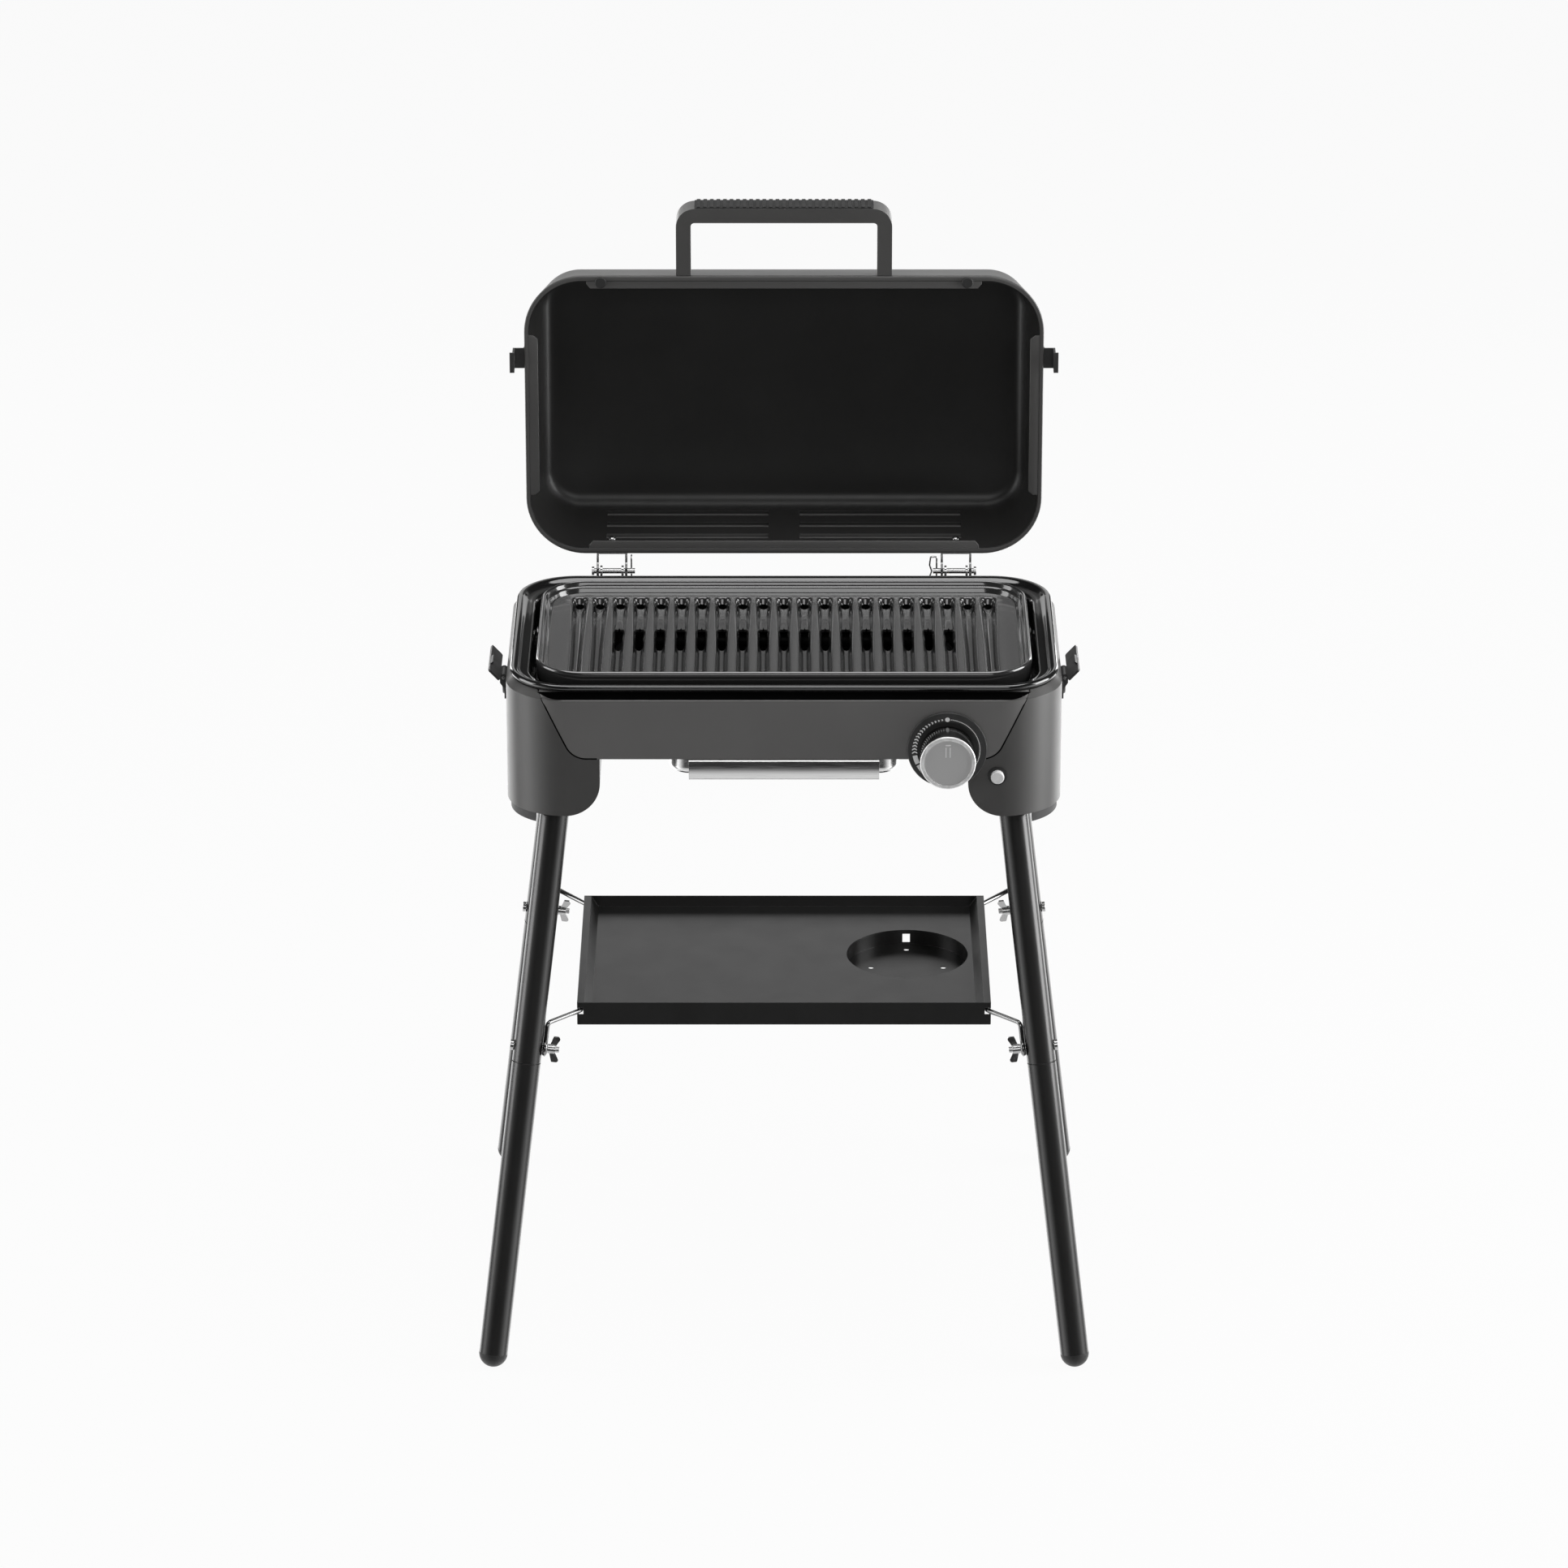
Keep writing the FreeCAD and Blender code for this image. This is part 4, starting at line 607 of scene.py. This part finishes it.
def build_hinge_rivets():
    """Two bright dome rivets inside the lid, over the hinges."""
    mesh = bmesh.new()
    along = RIVET_Y - LID_RIM
    floor = LID_MIDDLE - LID_HALF_Z + LID_DRAFT * along + 2.6
    tilt = Matrix.Rotation(math.radians(LID_DRAFT_ANGLE), 4, "X")
    for side in (-1, 1):
        place = Matrix.Translation((side * RIVET_X, LID_RIM + along, floor))
        dome = place @ tilt @ Matrix.Diagonal((4, 4, 2.6, 1))
        bmesh.ops.create_uvsphere(mesh, u_segments=28, v_segments=16, radius=1, matrix=dome)
    obj = piece("hinge_rivet_domes", mesh, ["zinc_steel"], "lid", ("hinge_rivets",))
    smooth(obj, 60)


def build_rim_flanges():
    """Narrow inward flanges along the four straight stretches of the rim, with cut-back ends."""
    mesh = bmesh.new()
    wide = 14.5

    def flange(length, edge, across):
        """A strip with chamfered inner corners; across tells which way it faces."""
        for sign in (-1, 1):
            outline = [(-length, edge - 3), (-length, edge - wide + 5), (-length + 4, edge - wide),
                       (length - 4, edge - wide), (length, edge - wide + 5), (length, edge - 3)]
            low = []
            high = []
            for along, out in outline:
                x, z = (along, sign * out) if across else (sign * out, along)
                low.append(mesh.verts.new((x, LID_RIM + 0.4, LID_MIDDLE + z)))
                high.append(mesh.verts.new((x, LID_RIM + 2.4, LID_MIDDLE + z)))
            mesh.faces.new(low)
            mesh.faces.new(list(reversed(high)))
            for i in range(len(low)):
                j = (i + 1) % len(low)
                mesh.faces.new((low[i], low[j], high[j], high[i]))

    flange(208, LID_HALF_Z, True)
    flange(89, LID_HALF_X, False)
    obj = piece("lid_rim_flanges", mesh, ["lid_paint"], "lid")
    bevel(obj, 0.5)


# ---------------------------------------------------------------- front panel seams, drawer handle

SHELL_HALF_Y = 171.0
SHELL_CORNER = 64.0
SHELL_FLAT_X = 223.0
BEVEL_LOW = 715.0
SEAM_CORNER_X = 203.2
SEAM_CORNER_Z = 674.0
SEAM_RADIUS = 23
SEAM_SLOPE = (0.897, -0.442)
DRAWER_FRONT = -150


def shell_front(x, z):
    """Where the front of the body shell is, at a distance from the middle and a height."""
    radius = SHELL_CORNER - max(0.0, z - BEVEL_LOW)
    round_part = max(0.0, abs(x) - SHELL_FLAT_X)
    return -SHELL_HALF_Y + SHELL_CORNER - math.sqrt(radius * radius - round_part * round_part)


def build_fascia_seams():
    """The dark seams round the front panel's sloping ends, laid on the body's curved front."""
    mesh = bmesh.new()
    path = [((192, 651), (0, -1)), ((SEAM_CORNER_X, 651), (0, -1))]
    for step in range(1, 9):
        x, z = polar(1, -90 + 63.8 * step / 8)
        bend = (SEAM_CORNER_X + SEAM_RADIUS * x, SEAM_CORNER_Z + SEAM_RADIUS * z)
        path.append((bend, (x, z)))
    for share in (0.1, 0.25, 0.4, 0.55, 0.7, 0.85, 1.0):
        path.append(((223.8 + 25.2 * share, 663.8 + 51.2 * share), SEAM_SLOPE))
    path.append(((252.4, 721.9), SEAM_SLOPE))
    for side in (-1, 1):
        previous = None
        for (x, z), (out_x, out_z) in path:
            pair = []
            for reach in (-1.1, 0.4):
                at_x = x + out_x * reach
                at_z = z + out_z * reach
                front = shell_front(at_x, at_z) - 0.07
                pair.append(mesh.verts.new((side * at_x, front, at_z)))
            if previous:
                mesh.faces.new((previous[0], previous[1], pair[1], pair[0]))
            previous = pair
    piece("fascia_seams", mesh, ["shadow_and_seam_black"], "base")


def build_drawer_handle():
    """Stainless handle plate of the drawer: bowed forward, rolled at both long edges."""
    mesh = bmesh.new()
    section = [(0, 641), (0, 639.5), (-10.6, 639.5), (-12.6, 637), (-13.2, 632), (-11.9, 627.4),
               (-12.0, 626.2), (-12.8, 625.6), (-13.6, 626.2), (-14.4, 628.2), (-15.0, 630.6),
               (-15.5, 633.6), (-15.8, 637), (-15.9, 640.6), (-15.7, 644.6), (-15.3, 647.2),
               (-14.6, 648.1), (-13.9, 647.4), (-13.6, 644.5), (-12.8, 642), (-11, 641)]
    loops = [[(x, DRAWER_FRONT + y, z) for y, z in section] for x in (-98, -97.4, -60, 60, 97.4, 98)]
    rings = skin(mesh, loops)
    mesh.faces.new(rings[0])
    mesh.faces.new(rings[-1])
    obj = piece("drawer_handle_plate", mesh, ["stainless"], "drawer",
                ("drawer_handle",))
    smooth(obj, 42)


# ---------------------------------------------------------------- dial and knob markings

def polar(radius, degrees):
    angle = math.radians(degrees)
    return radius * math.cos(angle), radius * math.sin(angle)


DIAL_SCALE = 33.6


def build_dial_marks():
    """White print round the dial: a dot at the top, growing chevrons to the left, dots to the right."""
    mesh = bmesh.new()
    low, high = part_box("knob_bezel")
    centre_x = (low.x + high.x) / 2 / MM
    centre_z = (low.z + high.z) / 2 / MM
    face = low.y / MM - 0.02

    def patch(outline):
        """A thin printed shape on the dial's face."""
        front = [mesh.verts.new((centre_x + x, face - 0.12, centre_z + z)) for x, z in outline]
        back = [mesh.verts.new((centre_x + x, face + 0.1, centre_z + z)) for x, z in outline]
        mesh.faces.new(front)
        for i in range(len(front)):
            j = (i + 1) % len(front)
            mesh.faces.new((front[i], back[i], back[j], front[j]))

    def dot(radius, degrees, size):
        x, z = polar(radius, degrees)
        patch([(x + dx, z + dz) for dx, dz in (polar(size, step * 30) for step in range(12))])

    def band(inner, outer, start, end):
        steps = max(1, round(abs(end - start) / 4))
        angles = [start + (end - start) * step / steps for step in range(steps + 1)]
        patch([polar(inner, angle) for angle in angles]
              + [polar(outer, angle) for angle in reversed(angles)])

    dot(DIAL_SCALE, 90, 2.5)
    for step in range(15):
        angle = 97.5 + step * 6
        size = 0.8 + 1.9 * step / 14
        trail = 1.2 + 1.6 * step / 14
        for half in (-1, 1):
            patch([polar(DIAL_SCALE, angle), polar(DIAL_SCALE + half * size, angle + trail),
                   polar(DIAL_SCALE + half * size, angle + trail + 2.2), polar(DIAL_SCALE, angle + 2.6)])
    band(DIAL_SCALE - 2.4, DIAL_SCALE + 2.4, 190, 206)
    band(DIAL_SCALE - 2.4, DIAL_SCALE + 2.4, 209, 226)
    for step in range(44):
        dot(DIAL_SCALE, 83 - step * 3.1, 0.55)
    piece("dial_print", mesh, ["print_white"], "base")


def build_knob_marks():
    """Pointer on the knob's face: two thin lines with a short bar over them."""
    mesh = bmesh.new()
    low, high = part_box("knob_cap")
    centre_x = (low.x + high.x) / 2 / MM
    centre_z = (low.z + high.z) / 2 / MM
    face = low.y / MM
    for x, z, wide, tall in ((-2.1, 11.5, 0.9, 11), (2.1, 11.5, 0.9, 11), (0, 19.4, 5.4, 1.3)):
        place = Matrix.Translation((centre_x + x, face - 0.05, centre_z + z))
        bmesh.ops.create_cube(mesh, size=1, matrix=place @ Matrix.Diagonal((wide, 0.3, tall, 1)))
    piece("knob_pointer", mesh, ["print_white"], "control_knob")


# ---------------------------------------------------------------- studio

def area_light(name, place, target, size, power):
    """A rectangular softbox at a place, facing a target; sizes in metres, power in watts."""
    data = bpy.data.lights.new(name, "AREA")
    data.shape = "RECTANGLE"
    data.size, data.size_y = size
    data.energy = power
    light = bpy.data.objects.new(name, data)
    light.location = place
    light.rotation_euler = (Vector(target) - Vector(place)).to_track_quat("-Z", "Y").to_euler()
    bpy.context.scene.collection.objects.link(light)


def floor_material():
    """White sweep: almost pure white to the camera, and a studio of light and dark to mirrors."""
    shader = Shader("floor", 0.9)
    output = shader.tree.nodes["Material Output"]
    shader.body.inputs["Specular IOR Level"].default_value = 0.0
    shader.colour(shader.noise(3, 2), grey(0.5), grey(0.52))
    shader.bump(shader.noise(400, 2), 0.01, 0.1)
    seen = shader.add("LightPath")

    def glow(strength):
        emission = shader.add("Emission")
        emission.inputs["Color"].default_value = (1, 1, 1, 1)
        if isinstance(strength, float):
            emission.inputs["Strength"].default_value = strength
        else:
            shader.link(strength, emission.inputs["Strength"])
        return emission.outputs["Emission"]

    def mix(share, first, second):
        node = shader.add("MixShader")
        shader.link(share, node.inputs["Fac"])
        shader.link(first, node.inputs[1])
        shader.link(second, node.inputs[2])
        return node.outputs["Shader"]

    def maths(operation, first, second):
        node = shader.add("Math", operation=operation)
        shader.link(first, node.inputs[0])
        shader.link(second, node.inputs[1])
        return node.outputs["Value"]

    split = shader.add("SeparateXYZ")
    shader.link(shader.add("NewGeometry").outputs["Incoming"], split.inputs["Vector"])
    across, along, steep = split.outputs
    level = maths("SQRT", maths("ADD", maths("MULTIPLY", across, across),
                                maths("MULTIPLY", along, along)), across)
    heading = maths("DIVIDE", along, level)
    sides = maths("MULTIPLY", shader.ramp(heading, 0, 2.2, -0.4, 0.2),
                  shader.ramp(heading, 1, 0, 0.2, 0.85))
    aside = maths("ABSOLUTE", across, across)
    slanted = maths("MULTIPLY", shader.ramp(aside, 0, 1, 0.08, 0.16),
                    shader.ramp(heading, 1, 0, -0.6, -0.4))
    far = maths("MULTIPLY", slanted, shader.ramp(steep, 0, 2.2, 0.1, 0.2))
    below = shader.ramp(steep, 0, 0.9, 0.42, 0.62)
    panels = maths("MAXIMUM", maths("MAXIMUM", sides, far), below)
    mirrored = mix(seen.outputs["Is Glossy Ray"], shader.body.outputs["BSDF"],
                   glow(shader.ramp(panels, 0.04, 2.4, 0, 2.4)))
    white = mix(shader.ramp(seen.outputs["Is Camera Ray"], 0.0, 0.96, 0, 1), mirrored, glow(0.99))
    shader.link(white, output.inputs["Surface"])
    return shader.material


def studio():
    """Floor, background, lights and camera."""
    bpy.ops.mesh.primitive_plane_add(size=120)
    floor = bpy.context.object
    floor.name = "floor"
    floor.data.materials.append(floor_material())

    world = bpy.data.worlds.new("studio")
    bpy.context.scene.world = world
    world.use_nodes = True
    nodes = world.node_tree.nodes
    links = world.node_tree.links
    background = nodes["Background"]
    white = nodes.new("ShaderNodeBackground")
    white.inputs["Color"].default_value = (1, 1, 1, 1)
    white.inputs["Strength"].default_value = 1.0
    background.inputs["Color"].default_value = (1, 1, 1, 1)
    seen = nodes.new("ShaderNodeLightPath")
    dim = nodes.new("ShaderNodeMapRange")
    dim.inputs["To Min"].default_value = 0.1
    dim.inputs["To Max"].default_value = 0.03
    links.new(seen.outputs["Is Glossy Ray"], dim.inputs["Value"])
    links.new(dim.outputs["Result"], background.inputs["Strength"])
    mix = nodes.new("ShaderNodeMixShader")
    links.new(seen.outputs["Is Camera Ray"], mix.inputs["Fac"])
    links.new(background.outputs["Background"], mix.inputs[1])
    links.new(white.outputs["Background"], mix.inputs[2])
    links.new(mix.outputs["Shader"], nodes["World Output"].inputs["Surface"])

    area_light("top_box", (0, 0.0, 2.9), (0, 0, 0.7), (2.4, 1.4), 46)
    area_light("left_box", (-2.5, -0.1, 1.1), (0, 0, 0.6), (1.5, 2.2), 40)
    area_light("right_box", (2.5, -0.1, 1.1), (0, 0, 0.6), (1.5, 2.2), 84)
    area_light("front_box", (0.6, -4.6, 2.8), (0, 0, 0.6), (2.4, 1.8), 40)
    area_light("rear_left_strip", (-1.75, 3.0, 1.1), (0, 0, 0.7), (0.5, 1.6), 11)
    area_light("rear_right_strip", (1.75, 3.0, 1.1), (0, 0, 0.7), (0.5, 1.6), 13)
    area_light("rear_box", (0, 3.0, 1.5), (0, 0, 0.7), (2.2, 1.4), 8)

    camera = bpy.data.objects.new("camera", bpy.data.cameras.new("camera"))
    camera.data.lens = 159.2
    camera.data.sensor_width = 36
    camera.data.clip_end = 200
    camera.location = (0, -6.793, 3.2723)
    camera.rotation_euler = (math.radians(90 - 21.8), 0, 0)
    bpy.context.scene.collection.objects.link(camera)
    bpy.context.scene.camera = camera
    bpy.context.scene.view_settings.view_transform = "Standard"


build_drip_pan()
build_cooking_plate()
build_lid()
build_fascia_seams()
build_drawer_handle()
build_dial_marks()
build_knob_marks()
studio()
